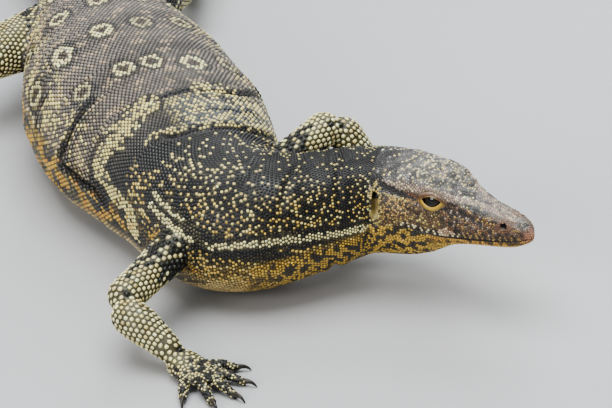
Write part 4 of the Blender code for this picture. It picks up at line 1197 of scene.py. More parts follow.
@dataclass
class Roots:
    """Where scales may stand, and what each place is."""

    point: Array
    tri: Array
    s: Array = field(init=False)
    side: Array = field(init=False)
    share: Array = field(init=False)
    out: Array = field(init=False)
    leg: dict[str, Array] = field(init=False)
    region: Array = field(init=False)
    normal: Array = field(init=False)
    lie: Array = field(init=False)

    def settle(self, surface: Surface) -> None:
        """Works out each root's region, normal and lie."""
        self.s, self.side, _, self.share, self.out = SPINE.locate(self.point)
        self.leg = LEGS.locate(self.point)
        on_leg = (self.out > 1.05) & (self.leg["near"] < 1.9) & (self.s > 0.128)
        on_leg |= (self.leg["near"] < 1.35) & (np.abs(self.side) > 0.060) & (self.s < 0.24)
        self.region = np.select([on_leg, self.s < 0.131, self.s < 0.215, self.s < 0.68],
                                [Region.LEG, Region.HEAD, Region.NECK, Region.TRUNK], Region.TAIL)
        self.normal = surface.normal_at(self.point, self.tri)
        _, forward, _ = SPINE.frame(self.s)
        back = np.column_stack([-forward, np.zeros(len(self.s))])
        lie = np.where(on_leg[:, None], self.leg["lie"], back)
        lie -= self.normal * (lie * self.normal).sum(axis=1, keepdims=True)
        short = np.linalg.norm(lie, axis=1) < 0.15
        lie[short] = np.cross(self.normal[short], [0.3, 0.9, 0.2])
        self.lie = unit(lie)

    def steady(self) -> None:
        """Turns each root's normal towards its neighbours', so that no scale stands on edge in a fold."""
        near = neighbours(self.point, 12)
        agree = (self.normal[near] * self.normal[:, None]).sum(axis=2) > 0.0
        self.normal = unit((self.normal[near] * agree[..., None]).sum(axis=1) + self.normal)
        self.lie = unit(self.lie - self.normal * (self.lie * self.normal).sum(axis=1, keepdims=True))

    def picked(self, rows: Array) -> "Roots":
        """Only the given rows."""
        made = Roots(self.point[rows], self.tri[rows])
        for name in ("s", "side", "share", "out", "region", "normal", "lie"):
            setattr(made, name, getattr(self, name)[rows])
        made.leg = {key: value[rows] for key, value in self.leg.items()}
        return made


@dataclass
class Layout:
    """Lays out the scales: rings of them along body and legs, and packed ones on head and feet."""

    surface: Surface
    hide_tris: int
    seed: int = 5
    # Sizes in millimetres at places behind the snout
    ring_s: tuple = (0.126, 0.16, 0.22, 0.27, 0.34, 0.60, 0.70, 1.00, 1.40, 1.694)
    ring_along: tuple = (1.8, 2.0, 2.35, 2.5, 2.9, 3.4, 3.5, 3.3, 2.7, 1.5)
    ring_across: tuple = (1.9, 2.2, 2.6, 2.9, 3.5, 4.2, 4.2, 3.9, 3.1, 1.8)
    head_s: tuple = (0.0, 0.015, 0.05, 0.08, 0.11, 0.131)
    head_size: tuple = (1.15, 1.45, 1.75, 1.9, 1.9, 1.95)
    leg_size: tuple = (4.7, 4.2, 2.7, 2.2)
    sole_size: float = 2.1
    # How far from the hide a place may be laid, in metres, and how much of its size a scale keeps free
    hold: float = 0.0042
    row_room: float = 0.74
    head_room: float = 0.80
    body_room: float = 0.72

    def size(self, roots: Roots) -> Array:
        """The distance between neighbouring scales at each root, in metres."""
        head = np.interp(roots.s, self.head_s, self.head_size)
        share = np.abs(roots.share)
        temple = span(share, 0.27, 0.31, 0.46, 0.50) * span(roots.s, 0.078, 0.086, 0.112, 0.120)
        head = head * (1 - temple) + 1.5 * temple
        for eye in EYES:
            near = np.linalg.norm(roots.point - eye.centre, axis=1)
            close = (1 - smoothstep(0.012, 0.019, near))
            head = head * (1 - close) + 1.15 * close
        throat = smoothstep(0.56, 0.66, share)
        head = head * (1 - throat) + np.minimum(head, 2.4) * throat
        ring = (np.interp(roots.s, self.ring_s, self.ring_along)
                + np.interp(roots.s, self.ring_s, self.ring_across)) / 2
        leg = np.array(self.leg_size)[roots.leg["kind"]]
        leg = np.where((roots.normal[:, 2] < -0.5) & (roots.leg["kind"] >= Stretch.PALM), self.sole_size, leg)
        return np.select([roots.region == Region.LEG, roots.region == Region.HEAD], [leg, head], ring) / 1000

    def body_rings(self) -> Array:
        """Staggered rings of places round neck, trunk and tail."""
        found, s, row = [], self.ring_s[0], 0
        while s < TAIL_TIP - 0.003:
            across = np.interp(s, self.ring_s, self.ring_across) / 1000
            count = max(8, 4 * round(0.5 * float(SPINE.half_girth(s)) / across))
            share = (np.arange(count) - count // 2 + 0.5 * (row % 2)) / count * 2
            side, height = SPINE.ring(s, share)
            found.append(SPINE.world(s, side, height))
            s += np.interp(s, self.ring_s, self.ring_along) / 1000
            row += 1
        return np.concatenate(found)

    def leg_rings(self) -> Array:
        """Staggered rings of places round the legs and digits, found from inside them."""
        found = []
        for limb in LIMBS:
            root, elbow, wrist = limb.bends
            runs = [(root, elbow, limb.upper_radii[1], 4.2, 4.8, 0.018),
                    (elbow, wrist, limb.lower_radii[1], 3.8, 4.2, 0.0)]
            runs += [(knuckle, tip, limb.digit_radius, 2.1, 2.4, 0.0) for knuckle, tip, _ in limb.digits]
            for start, end, radius, along, across, skip in runs:
                axis = unit(end - start)
                side = unit(np.cross(UP, axis))
                lift = np.cross(axis, side)
                count = max(8, round(2 * math.pi * radius * 1000 / across))
                for row, gone in enumerate(np.arange(skip, np.linalg.norm(end - start) + 0.001, along / 1000)):
                    turn = (np.arange(count) + 0.5 * (row % 2)) / count * 2 * math.pi
                    for a in turn:
                        ray = side * math.sin(a) + lift * math.cos(a)
                        hit, _, _, far = self.surface.tree.ray_cast(Vector(start + axis * gone), Vector(ray), 0.04)
                        if hit is not None and far < 1.5 * radius:
                            found.append(np.array(hit))
        return np.array(found)

    def lip_rows(self) -> Array:
        """Rows of plates along the upper and the lower lip."""
        found = []
        for lift in (0.0015, 0.0032, -0.0014, -0.0030):
            stops = np.arange(0.003 + 0.0008 * (abs(lift) > 0.002), 0.090, 0.0019)
            for s in stops:
                share = SPINE.share_at(float(s), MOUTH_HEIGHT(s) + lift * min(1.0, 0.55 + s / 0.04))
                side, height = SPINE.ring(float(s), np.array([share, -share]))
                found.append(SPINE.world(float(s), side, height))
        return np.concatenate(found)

    def lid_rows(self) -> Array:
        """Rows of granules round the eyes, outside the smooth edges of the lids."""
        found = []
        for eye in EYES:
            for out, low in ((1.5, False), (2.45, False), (3.4, False), (4.0, True), (4.9, True), (5.8, True)):
                turn = np.linspace(0, 2 * math.pi, 60 + round(out * 4), endpoint=False) + out
                turn = turn if low else turn[np.sin(turn) > 0.12]
                for a in turn:
                    reach = eye.edge(np.array(a)) + out / 1000
                    start = eye.centre + eye.axes.T @ np.array([reach * math.cos(a), 0.03, reach * math.sin(a)])
                    hit = self.surface.tree.ray_cast(Vector(start), Vector(-eye.axes[1]), 0.035)[0]
                    if hit is not None:
                        found.append(np.array(hit))
        return np.array(found)

    def bare(self, roots: Roots) -> Array:
        """Which roots lie where no scale grows: slits, openings, and hide that the lids cover."""
        none = np.zeros(len(roots.s), bool)
        head = roots.s < 0.135
        for eye in EYES:
            place = eye.local(roots.point)
            near = (place[:, 1] > 0) & (np.linalg.norm(place, axis=1) < 0.02)
            gap = eye.outside(place[:, 0], place[:, 2])
            smooth = np.where(place[:, 2] > 0, 0.0011, 0.0034)
            hidden = (roots.tri < self.hide_tris) & (gap < 0.0042)
            none |= near & (hidden | (gap < smooth))
        share = np.abs(roots.share)
        level = roots.point[:, 2]
        none |= head & (EAR.reach(roots.s, level) < 0.98) & (share > 0.2) & (share < 0.55)
        none |= head & (NOSTRIL.reach(roots.s, level) < 1.05) & (share > 0.1) & (share < 0.5)
        lip = 0.0007 * np.clip(0.5 + roots.s / 0.02, 0.5, 1)
        none |= (roots.s < 0.0895) & (np.abs(level - MOUTH_HEIGHT(roots.s)) < lip)
        flat = np.column_stack([roots.s, roots.share * SPINE.half_girth(roots.s)])
        for fold in Skin().folds:
            if fold.depth >= Skin.deep:
                none |= (distance_to_line(flat, fold.flat()) < 0.0007) & (roots.region != Region.LEG)
        return none

    def build(self) -> tuple[Roots, Array]:
        """All roots, thinned so that no two stand too close, with their sizes."""
        rng = np.random.default_rng(self.seed)
        surface = self.surface
        rows = [self.lid_rows(), self.lip_rows(), self.body_rings(), self.leg_rings()]
        log.info("rows laid: %s", [len(r) for r in rows])
        wanted = np.concatenate(rows)
        point, tri, far = surface.nearest(wanted)
        kept = far < self.hold
        point, tri = point[kept], tri[kept]
        centres = surface.points[surface.tris].mean(axis=1)
        spots = Roots(centres, np.arange(len(centres)))
        spots.settle(surface)
        size = self.size(spots)
        ordered = (spots.region != Region.HEAD) & ((spots.region != Region.LEG) | (spots.leg["kind"] != Stretch.PALM))
        chance = surface.areas() / size ** 2 * np.where(ordered, 5.0, 13.0)
        more, more_tri = surface.sample(chance, int(chance.sum()), rng)
        log.info("%d places in rows, %d between them", len(point), len(more))
        roots = Roots(np.concatenate([point, more]), np.concatenate([tri, more_tri]))
        roots.settle(surface)
        size = self.size(roots)
        count = np.arange(len(roots.s))
        room = size * np.where(count < len(point), self.row_room,
                               np.where(roots.region == Region.HEAD, self.head_room, self.body_room))
        pinned = count < kept[:len(rows[0]) + len(rows[1])].sum()
        free = ~self.bare(roots)
        roots, room, size, pinned = roots.picked(free), room[free], size[free], pinned[free]
        tree = tree_of(roots.point)
        alive = np.ones(len(room), bool)
        for i, (place, reach) in enumerate(zip(roots.point.tolist(), room.tolist())):
            if alive[i]:
                for _, j, _ in tree.find_range(place, reach):
                    if j > i:
                        alive[j] = False
        chosen, size, pinned = roots.picked(alive), size[alive], pinned[alive]
        spread = Roots(*self.spread(chosen, size, pinned))
        spread.settle(surface)
        stray = self.bare(spread)
        spread = Roots(np.where(stray[:, None], chosen.point, spread.point), np.where(stray, chosen.tri, spread.tri))
        spread.settle(surface)
        spread.steady()
        return spread, self.size(spread)

    def spread(self, roots: Roots, size: Array, pinned: Array, rounds: int = 5) -> tuple[Array, Array]:
        """Pushes crowded roots apart over the hide, so that the scales come out even.

        Args:
            roots: the chosen roots.
            size: how far apart neighbours should be.
            pinned: which roots stay in their places.
            rounds: how often all of them are moved.

        Returns:
            The new places and the triangles that they lie in.
        """
        point, tri = roots.point.copy(), roots.tri.copy()
        for step in range(rounds):
            if step in (0, 3):
                near = neighbours(point, 9)[:, 1:]
                wanted = (size[near] + size[:, None]) / 2 * 1.06
            off = point[:, None] - point[near]
            far = np.maximum(np.linalg.norm(off, axis=2), 1e-6)
            push = np.clip(1 - far / wanted, 0, 0.6) * wanted * 0.28
            move = (off / far[..., None] * push[..., None]).sum(axis=1)
            move[pinned] = 0.0
            point, tri, _ = self.surface.nearest(point + move)
        return point, tri


class Tones:
    """One colour for each of some roots, painted over step by step."""

    def __init__(self, count: int, colour: str, strength: float = 1.0) -> None:
        """Starts with one colour everywhere."""
        self.rows = np.tile(np.array(COLOURS[colour]) * strength, (count, 1))

    def lay(self, colour: str, *masks: Array | float) -> None:
        """Lays a colour where the product of the masks, 0 to 1, says."""
        mask = math.prod(np.asarray(m, float) for m in masks) * np.ones(len(self.rows))
        self.rows = self.rows * (1 - mask[:, None]) + np.array(COLOURS[colour]) * mask[:, None]


COLOURS = {
    # grey_brown is partly the back's own grey-brown and partly painted sheen: it is made lighter to stand for the
    # blue-grey sheen on the back
    "black": (0.01, 0.0095, 0.009), "charcoal": (0.024, 0.021, 0.017), "grey_brown": (0.185, 0.158, 0.13),
    "dusty": (0.42, 0.32, 0.21), "steel": (0.13, 0.145, 0.15), "pale": (0.76, 0.65, 0.27), "bright": (0.82, 0.74, 0.38),
    "straw": (0.58, 0.46, 0.15), "golden": (0.54, 0.345, 0.052), "ochre": (0.44, 0.28, 0.085),
    "orange": (0.48, 0.2, 0.03), "slate": (0.165, 0.156, 0.143), "cream": (0.72, 0.62, 0.38),
    "pink": (0.44, 0.33, 0.27),
    "loam": (0.118, 0.072, 0.039), "tan": (0.175, 0.1, 0.042), "russet": (0.155, 0.068, 0.028),
    "umber": (0.052, 0.03, 0.016), "snout": (0.5, 0.23, 0.14), "leg_dark": (0.016, 0.017, 0.012),
    "sole": (0.11, 0.095, 0.065), "slate_dark": (0.0495, 0.0468, 0.0429), "slate_light": (0.297, 0.2808, 0.2574),
    "bridge": (0.36, 0.33, 0.3), "snout_side": (0.25, 0.175, 0.125), "rictus": (0.6, 0.42, 0.28),
    "nostril_rim": (0.2, 0.09, 0.045), "belly": (0.567, 0.43425, 0.1944), "tail_under": (0.432, 0.276, 0.0416),
}


@dataclass(frozen=True)
class Markings:
    """Where each colour lies, the same for hide and scales, with painted shade in the deep folds and partly painted
    sheen in the back's grey-brown.
    """

    # Rings on the back: behind the snout, along the hide from the back, half length, half width, strength
    rings: tuple = (
        (0.399, -0.0203, 0.0088, 0.0068, 1.0), (0.396, 0.0018, 0.0088, 0.0066, 1.0),
        (0.384, 0.0308, 0.0090, 0.0078, 1.0), (0.401, -0.0560, 0.0080, 0.0070, 0.55),
        (0.392, 0.0640, 0.0085, 0.0075, 0.5), (0.459, -0.0515, 0.0110, 0.0078, 1.0),
        (0.469, -0.0155, 0.0100, 0.0072, 1.0), (0.470, 0.0165, 0.0090, 0.0068, 0.55),
        (0.474, 0.0500, 0.0090, 0.0075, 0.6), (0.530, -0.0400, 0.0095, 0.0075, 0.9),
        (0.536, -0.0060, 0.0090, 0.0068, 0.8), (0.536, 0.0270, 0.0090, 0.0070, 0.8),
        (0.532, 0.0580, 0.0090, 0.0075, 0.7), (0.592, -0.0340, 0.0085, 0.0070, 0.9),
        (0.597, -0.0030, 0.0085, 0.0065, 0.9), (0.594, 0.0290, 0.0085, 0.0070, 0.9),
        (0.648, -0.0190, 0.0080, 0.0065, 0.9), (0.650, 0.0130, 0.0080, 0.0065, 0.9),
        (0.452, -0.0880, 0.0090, 0.0080, 0.6), (0.520, -0.0820, 0.0090, 0.0080, 0.6),
        (0.455, 0.0880, 0.0090, 0.0080, 0.7), (0.520, 0.0860, 0.0090, 0.0080, 0.7),
    )
    band: tuple = ((0.339, -0.025), (0.339, -0.034), (0.335, -0.040), (0.330, -0.058), (0.334, -0.069),
                   (0.335, -0.078), (0.335, -0.086), (0.313, -0.089), (0.297, -0.090), (0.282, -0.089),
                   (0.280, -0.102))
    lines: tuple = (
        ((0.262, -0.0578), (0.247, -0.0609), (0.239, -0.0673), (0.230, -0.0759)),
        ((0.263, -0.0666), (0.254, -0.0681), (0.247, -0.0698), (0.240, -0.0716), (0.233, -0.0747)),
        ((0.230, -0.0751), (0.216, -0.0696), (0.201, -0.0652), (0.175, -0.0641), (0.141, -0.0618)),
    )
    # Lines on the head, as (behind the snout, share)
    stripe: tuple = ((0.133, -0.235), (0.126, -0.243), (0.111, -0.260), (0.100, -0.280), (0.090, -0.298),
                     (0.086, -0.310))
    under_stripe: tuple = ((0.134, -0.275), (0.114, -0.297), (0.104, -0.308), (0.093, -0.330))
    fore_stripe: tuple = ((0.066, -0.345), (0.055, -0.335), (0.043, -0.315))
    ridge: tuple = ((0.131, -0.262), (0.115, -0.243), (0.094, -0.236), (0.083, -0.243), (0.074, -0.240),
                    (0.066, -0.236), (0.057, -0.205), (0.050, -0.150), (0.040, -0.090), (0.027, -0.070),
                    (0.012, -0.090))

    @staticmethod
    def ripple(a: Array, b: Array, wave: float, seed: int) -> Array:
        """A smooth uneven pattern between about -1 and 1, with patches about half a wave across."""
        draw = np.random.default_rng(seed)
        total = np.zeros(len(a))
        for _ in range(6):
            turn, phase = draw.uniform(0, 2 * math.pi, 2)
            step = 2 * math.pi / (wave * draw.uniform(0.65, 1.5))
            total += np.sin(step * (a * math.cos(turn) + b * math.sin(turn)) + phase)
        return total / 2.6

    @staticmethod
    def lone(points: Array, order: Array, reach: Array) -> Array:
        """Picks scales so that no two of them are neighbours, by turns in the given order."""
        tree, spots = tree_of(points), points.tolist()
        free, picked = np.ones(len(order), bool), np.zeros(len(order), bool)
        for i in np.argsort(order).tolist():
            if free[i]:
                picked[i] = True
                for _, j, _ in tree.find_range(spots[i], float(reach[i])):
                    free[j] = False
        return picked

    def tones(self, roots: Roots, size: Array, seed: int = 21) -> Array:
        """One colour for each root.

        Args:
            roots: where the scales stand.
            size: how far apart neighbouring scales are.
            seed: starts the random numbers.
        """
        rng = np.random.default_rng(seed)
        count = len(roots.s)
        chance, other, tint, spare = rng.random(count), rng.random(count), rng.normal(0, 1, count), rng.random(count)
        single = self.lone(roots.point, spare, size * 1.22)
        arc = roots.share * SPINE.half_girth(roots.s)
        tone = np.zeros((count, 3))
        for region, method in ((Region.HEAD, self.head), (Region.NECK, self.body), (Region.TRUNK, self.body),
                               (Region.TAIL, self.tail), (Region.LEG, self.leg)):
            rows = roots.region == region
            if rows.any():
                tone[rows] = method(roots.picked(rows), arc[rows], chance[rows], other[rows], single[rows])
        vary = np.where(roots.region == Region.HEAD, 0.24, 0.16)
        return np.clip(tone * np.exp(vary * tint)[:, None], 0.003, 0.85)

    def body(self, roots: Roots, arc: Array, chance: Array, other: Array, single: Array) -> Array:
        """Neck, chest, trunk and hips."""
        s, share, flipped = roots.s, np.abs(roots.share), -np.abs(arc)
        flat, mirrored = np.column_stack([s, arc]), np.column_stack([s, flipped])
        tones = Tones(len(s), "black")
        lay = tones.lay
        # partly painted sheen: the back's grey-brown is lighter to stand for the sheen on its scales
        lay("grey_brown", smoothstep(0.29, 0.35, s), np.clip(0.8 + 0.25 * self.ripple(s, arc, 0.05, 3), 0, 1))
        lay("dusty", self.ripple(s, arc, 0.016, 4) + 1.4 * (chance - 0.5) > 0.75, s > 0.34, 0.8)
        # Dots of the neck and chest, sparse above and dense on the sides
        calm = np.exp(-(((s - 0.285) / 0.03) ** 2 + ((flipped + 0.045) / 0.022) ** 2))
        alone = np.interp(share, (0, 0.08, 0.18, 0.3, 0.45), (0.3, 0.4, 0.7, 0.95, 1.0)) * (1 - 0.65 * calm)
        joined = np.interp(share, (0, 0.2, 0.32, 0.45, 0.6), (0.0, 0.02, 0.1, 0.24, 0.36)) * (1 - 0.9 * calm)
        dots = (single & (other < alone)) | (chance < joined)
        front = 1 - smoothstep(0.285, 0.3, s)
        lay("pale", front, dots, 0.96)
        lay("golden", smoothstep(0.14, 0.34, share), front, dots, other < 0.62, 0.75)
        # The pale patch between the two folds
        patch = span(s, 0.29, 0.296, 0.33, 0.345) * span(roots.share, -0.1, 0.0, 0.4, 0.5)
        lay("steel", patch, 0.6)
        lay("pale", patch, single | (chance < 0.34 + 0.25 * self.ripple(s, arc, 0.02, 8)), 0.95)
        # Beads and mottling of the flanks
        flank = span(share, 0.22, 0.34, 0.6, 0.66) * smoothstep(0.335, 0.36, s)
        thick = np.clip(0.22 + 0.3 * self.ripple(s, arc, 0.03, 9), 0, 0.6)
        lay("pale", flank, (single & (other < 0.55)) | (chance < thick), 0.9)
        low = span(share, 0.44, 0.5, 0.64, 0.7) * span(s, 0.225, 0.25, 0.56, 0.62)
        gold = (self.ripple(s, arc, 0.02, 12) + 0.8 * (other - 0.5) > 0.0) & (chance < 0.9)
        lay("black", low, 0.8)
        lay("golden", low, gold, 0.92)
        lay("orange", low, gold, other < 0.35, 0.7)
        # Rings with dark middles
        for at, over, long, wide, strength in self.rings:
            place = np.hypot((s - at) / long, (arc - over) / wide)
            lay("charcoal", place < 1.75, 0.75)
            lay("bright", np.abs(place - 0.92) < 0.31, strength)
            lay("umber", place < 0.5, 0.85)
        # The deep folds are painted black, as painted shade in the creases, with pale beads along their hind lips
        for number, fold in enumerate(Skin().folds[:4]):
            line = fold.flat()
            near = distance_to_line(flat, line)
            if fold.depth >= Skin.deep:
                # painted shade: the crease of each deep fold is painted black
                lay("black", near < 0.0042, 0.9)
            if number == 0:
                behind = s > np.interp(arc, np.sort(line[:, 1]), line[np.argsort(line[:, 1]), 0])
                lay("pale", near > 0.003, near < 0.0085, behind, share < 0.4, chance < 0.75, 0.9)
        # The band over the shoulder and the lines along the neck
        band = distance_to_line(mirrored, self.band)
        upper = 1 - smoothstep(0.06, 0.075, -flipped)
        lay("black", band > 0.0075, band < 0.014, 0.8)
        lay("pale", band < 0.0075 + 0.0065 * upper, single | (chance < 0.34), 0.95)
        lay("pale", band < 0.0075, chance < 0.5, 0.95)
        lay("pale", band < 0.004, chance < 0.75, 0.95)
        for line in self.lines:
            near = distance_to_line(mirrored, line)
            lay("black", near < 0.0066, 0.92)
            lay("bright", near < 0.0027, chance < 0.92, 0.97)
        lay("black", np.hypot((s - 0.21) / 0.016, (flipped + 0.079) / 0.0055) < 1, 0.95)
        # The belly and the throat
        under = smoothstep(0.6, 0.66, share)
        bars = np.sin(2 * math.pi * s / 0.03 + 1.6 * self.ripple(s, flipped, 0.05, 15)) > 0.25
        lay("belly", under)
        lay("charcoal", under, bars, chance < 0.85, 0.9)
        throat = smoothstep(0.52, 0.57, share) * (1 - smoothstep(0.2, 0.24, s))
        lay("golden", throat)
        lay("black", throat, self.ripple(s, arc, 0.01, 16) + 1.2 * (other - 0.5) > 0.18, 0.96)
        return tones.rows

    def head(self, roots: Roots, arc: Array, chance: Array, other: Array, single: Array) -> Array:
        """Crown, face, jaws and throat."""
        s, share, height = roots.s, np.abs(roots.share), roots.point[:, 2]
        level, mirrored = height - MOUTH_HEIGHT(s), np.column_stack([s, -np.abs(arc)])
        tones = Tones(len(s), "slate")
        lay = tones.lay
        plates = self.ripple(s, arc, 0.011, 31) + 0.9 * (other - 0.5)
        lay("slate_dark", plates > 0.22, 0.75)
        lay("slate_light", plates < -0.45, 0.5)
        lay("black", smoothstep(0.098, 0.126, s), chance < 0.9, 0.85)
        flecks = 0.07 + 0.17 * smoothstep(0.04, 0.06, s) + 0.16 * self.ripple(s, arc, 0.01, 32)
        flecks = flecks * (1 - 0.6 * smoothstep(0.1, 0.115, s))
        lay("cream", chance < flecks, 0.9)
        lay("straw", chance < flecks * 0.4, 0.6)
        fore = (1 - smoothstep(0.026, 0.048, s)) * (1 - smoothstep(0.1, 0.2, share))
        lay("bridge", fore, 0.6)
        lay("snout_side", 1 - smoothstep(0.026, 0.036, s), smoothstep(0.13, 0.18, share), 0.8)
        lay("charcoal", fore, chance > 0.8, 0.8)
        # Sides of the snout, down from the ridge
        face = smoothstep(0.235, 0.265, share) * (1 - smoothstep(0.09, 0.1, s))
        mottle = self.ripple(s, arc, 0.0075, 33) + 0.9 * (other - 0.5)
        lay("loam", face)
        lay("russet", face, mottle > 0.35, 0.8)
        lay("black", face, mottle < -0.25, 0.9)
        lay("ochre", face, chance < 0.16, 0.8)
        lay("pink", face, chance > 0.9, 0.6)
        cheek = smoothstep(0.39, 0.43, share) * span(s, 0.06, 0.07, 0.108, 0.118)
        lay("tan", cheek, 0.9)
        lay("umber", cheek, self.ripple(s, arc, 0.007, 34) + 1.2 * (other - 0.5) > 0.25, 0.85)
        lay("straw", cheek, chance < 0.22, 0.8)
        # The temple: fine, each scale dark or yellow
        temple = span(share, 0.3, 0.33, 0.44, 0.5) * smoothstep(0.083, 0.09, s)
        lay("umber", temple, 0.95)
        lay("ochre", temple, single | (chance < 0.34), 0.9)
        hind = smoothstep(0.29, 0.33, share) * smoothstep(0.1225, 0.1265, s)
        lay("black", hind, 0.95)
        lay("pale", hind, single | (chance < 0.35), 0.92)
        lay("golden", hind, chance < 0.2, 0.8)
        # The ridge over the eye, the stripes behind and before it and the yellow line below
        ridge, stripe, fore_stripe, under = (distance_to_line(mirrored, self.over_hide(line)) for line in (
            self.ridge, self.stripe, self.fore_stripe, self.under_stripe))
        pale_ridge = (1 - smoothstep(0.0012, 0.0034, ridge)) * smoothstep(0.008, 0.02, s)
        lay("pink", pale_ridge, 0.9)
        lay("cream", pale_ridge, chance < 0.35, 0.7)
        lay("russet", span(share, 0.262, 0.27, 0.3, 0.315), span(s, 0.058, 0.066, 0.092, 0.099), 0.85)
        lay("black", stripe < 0.0011 + 0.0016 * smoothstep(0.086, 0.108, s), 0.97)
        lay("black", fore_stripe < 0.0017, chance < 0.85, 0.85)
        lay("straw", under < 0.001, chance < 0.8, 0.9)
        # The mouth's edges, the jaw and the throat
        lip, plate = (level > 0) & (level < 0.0034) & (s < 0.095), np.sin(2 * math.pi * s / 0.0046)
        lay("loam", lip, 0.75)
        lay("black", lip, plate < -0.2, 0.85)
        lay("cream", lip, s > 0.05, plate > 0.1, 0.9)
        lay("ochre", lip, s < 0.05, plate > 0.5, 0.7)
        lay("rictus", np.hypot((s - 0.061) / 0.006, (share - 0.585) / 0.04) < 1, 0.9)
        below = ((level < 0) & (s < 0.089)) | ((share > 0.525) & (s >= 0.089))
        blot = self.ripple(s, arc, 0.0085, 36) + 1.1 * (other - 0.5)
        lay("golden", below)
        lay("orange", below, s < 0.075, level > -0.006, 0.45)
        lay("black", below, blot > 0.16, smoothstep(0.064, 0.08, s), 0.96)
        lay("charcoal", below, blot > 0.55, s < 0.07, 0.8)
        lay("snout", 1 - smoothstep(0.0015, 0.0055, s), level > -0.002, 0.85)
        near = np.hypot((s - NOSTRIL.behind_snout) / 0.006, (height - NOSTRIL.height) / 0.0046) < 1
        lay("nostril_rim", near, share > 0.1, share < 0.5, 0.6)
        lay("straw", EAR.reach(s, height) < 1.5, share > 0.2, share < 0.56, chance < 0.6, 0.9)
        return tones.rows

    @staticmethod
    def over_hide(line: tuple) -> Array:
        """A line of (behind the snout, share) as places behind the snout and metres over the hide."""
        line = np.array(line)
        return np.column_stack([line[:, 0], line[:, 1] * SPINE.half_girth(line[:, 0])])

    def tail(self, roots: Roots, arc: Array, chance: Array, other: Array, single: Array) -> Array:
        """Dark with pale cross bands of broken spots, clearer towards the tip."""
        s, share = roots.s, np.abs(roots.share)
        tones = Tones(len(s), "grey_brown", 0.6)
        lay = tones.lay
        lay("black", smoothstep(0.75, 0.95, s), 0.8)
        phase = ((s - 0.7) / 0.066 + 0.1 * self.ripple(s, arc, 0.05, 41)) % 1
        pale = phase < 0.3 + 0.1 * smoothstep(1.0, 1.5, s)
        lay("pale", pale, chance < 0.5 + 0.42 * smoothstep(0.8, 1.25, s), 0.92)
        lay("straw", ~pale, single, other < 0.25, 0.8)
        lay("tail_under", smoothstep(0.7, 0.8, share), chance < 0.5, 0.7)
        return tones.rows

    def leg(self, roots: Roots, _arc: Array, chance: Array, other: Array, _single: Array) -> Array:
        """Black with a round pale dot on nearly every scale, smaller on the digits, and paler soles."""
        kind, gone = roots.leg["kind"], roots.leg["along"]
        tones = Tones(len(kind), "leg_dark")
        share = np.array((0.95, 0.95, 0.62, 0.45))[kind]
        dot = chance < np.where(kind == Stretch.UPPER, share * smoothstep(-0.01, 0.045, gone - 0.012), share)
        tones.lay("bright", dot, 0.97)
        tones.lay("straw", dot, other < 0.25, 0.6)
        tones.lay("sole", roots.normal[:, 2] < -0.45, kind >= Stretch.PALM, 0.9)
        return tones.rows


class ScaleShape:
    """One scale: a low many-sided dome with a closed underside, for copying."""

    def __init__(self, sides: int) -> None:
        """Makes the shape with the mesh tools and reads its corners and faces."""
        shape = bmesh.new()
        bmesh.ops.create_circle(shape, cap_ends=True, segments=sides, radius=1.0)
        rim = list(shape.edges)
        bmesh.ops.inset_individual(shape, faces=list(shape.faces), thickness=0.38, use_even_offset=False)
        inner = min(shape.faces, key=lambda f: max(v.co.length for v in f.verts))
        bmesh.ops.poke(shape, faces=[inner])
        bmesh.ops.edgeloop_fill(shape, edges=rim)
        shape.verts.index_update()
        co = places(shape)
        reach = np.hypot(co[:, 0], co[:, 1])
        self.level = np.select([reach > 0.9, reach > 0.2], [0, 1], 2)
        heights = np.array([-0.3, 0.5, 1.0])[self.level]
        put(shape, np.column_stack([co[:, :2], heights]))
        bmesh.ops.recalc_face_normals(shape, faces=shape.faces)
        step = 2 * math.pi / sides
        self.turn = np.arctan2(co[:, 1], co[:, 0])
        self.start = float(self.turn[np.argmax(reach)]) % step
        self.spoke = np.round((self.turn - self.start) / step).astype(int) % sides
        self.faces = [[v.index for v in f.verts] for f in shape.faces]
        self.triangles = sum(len(f) - 2 for f in self.faces)
        shape.free()


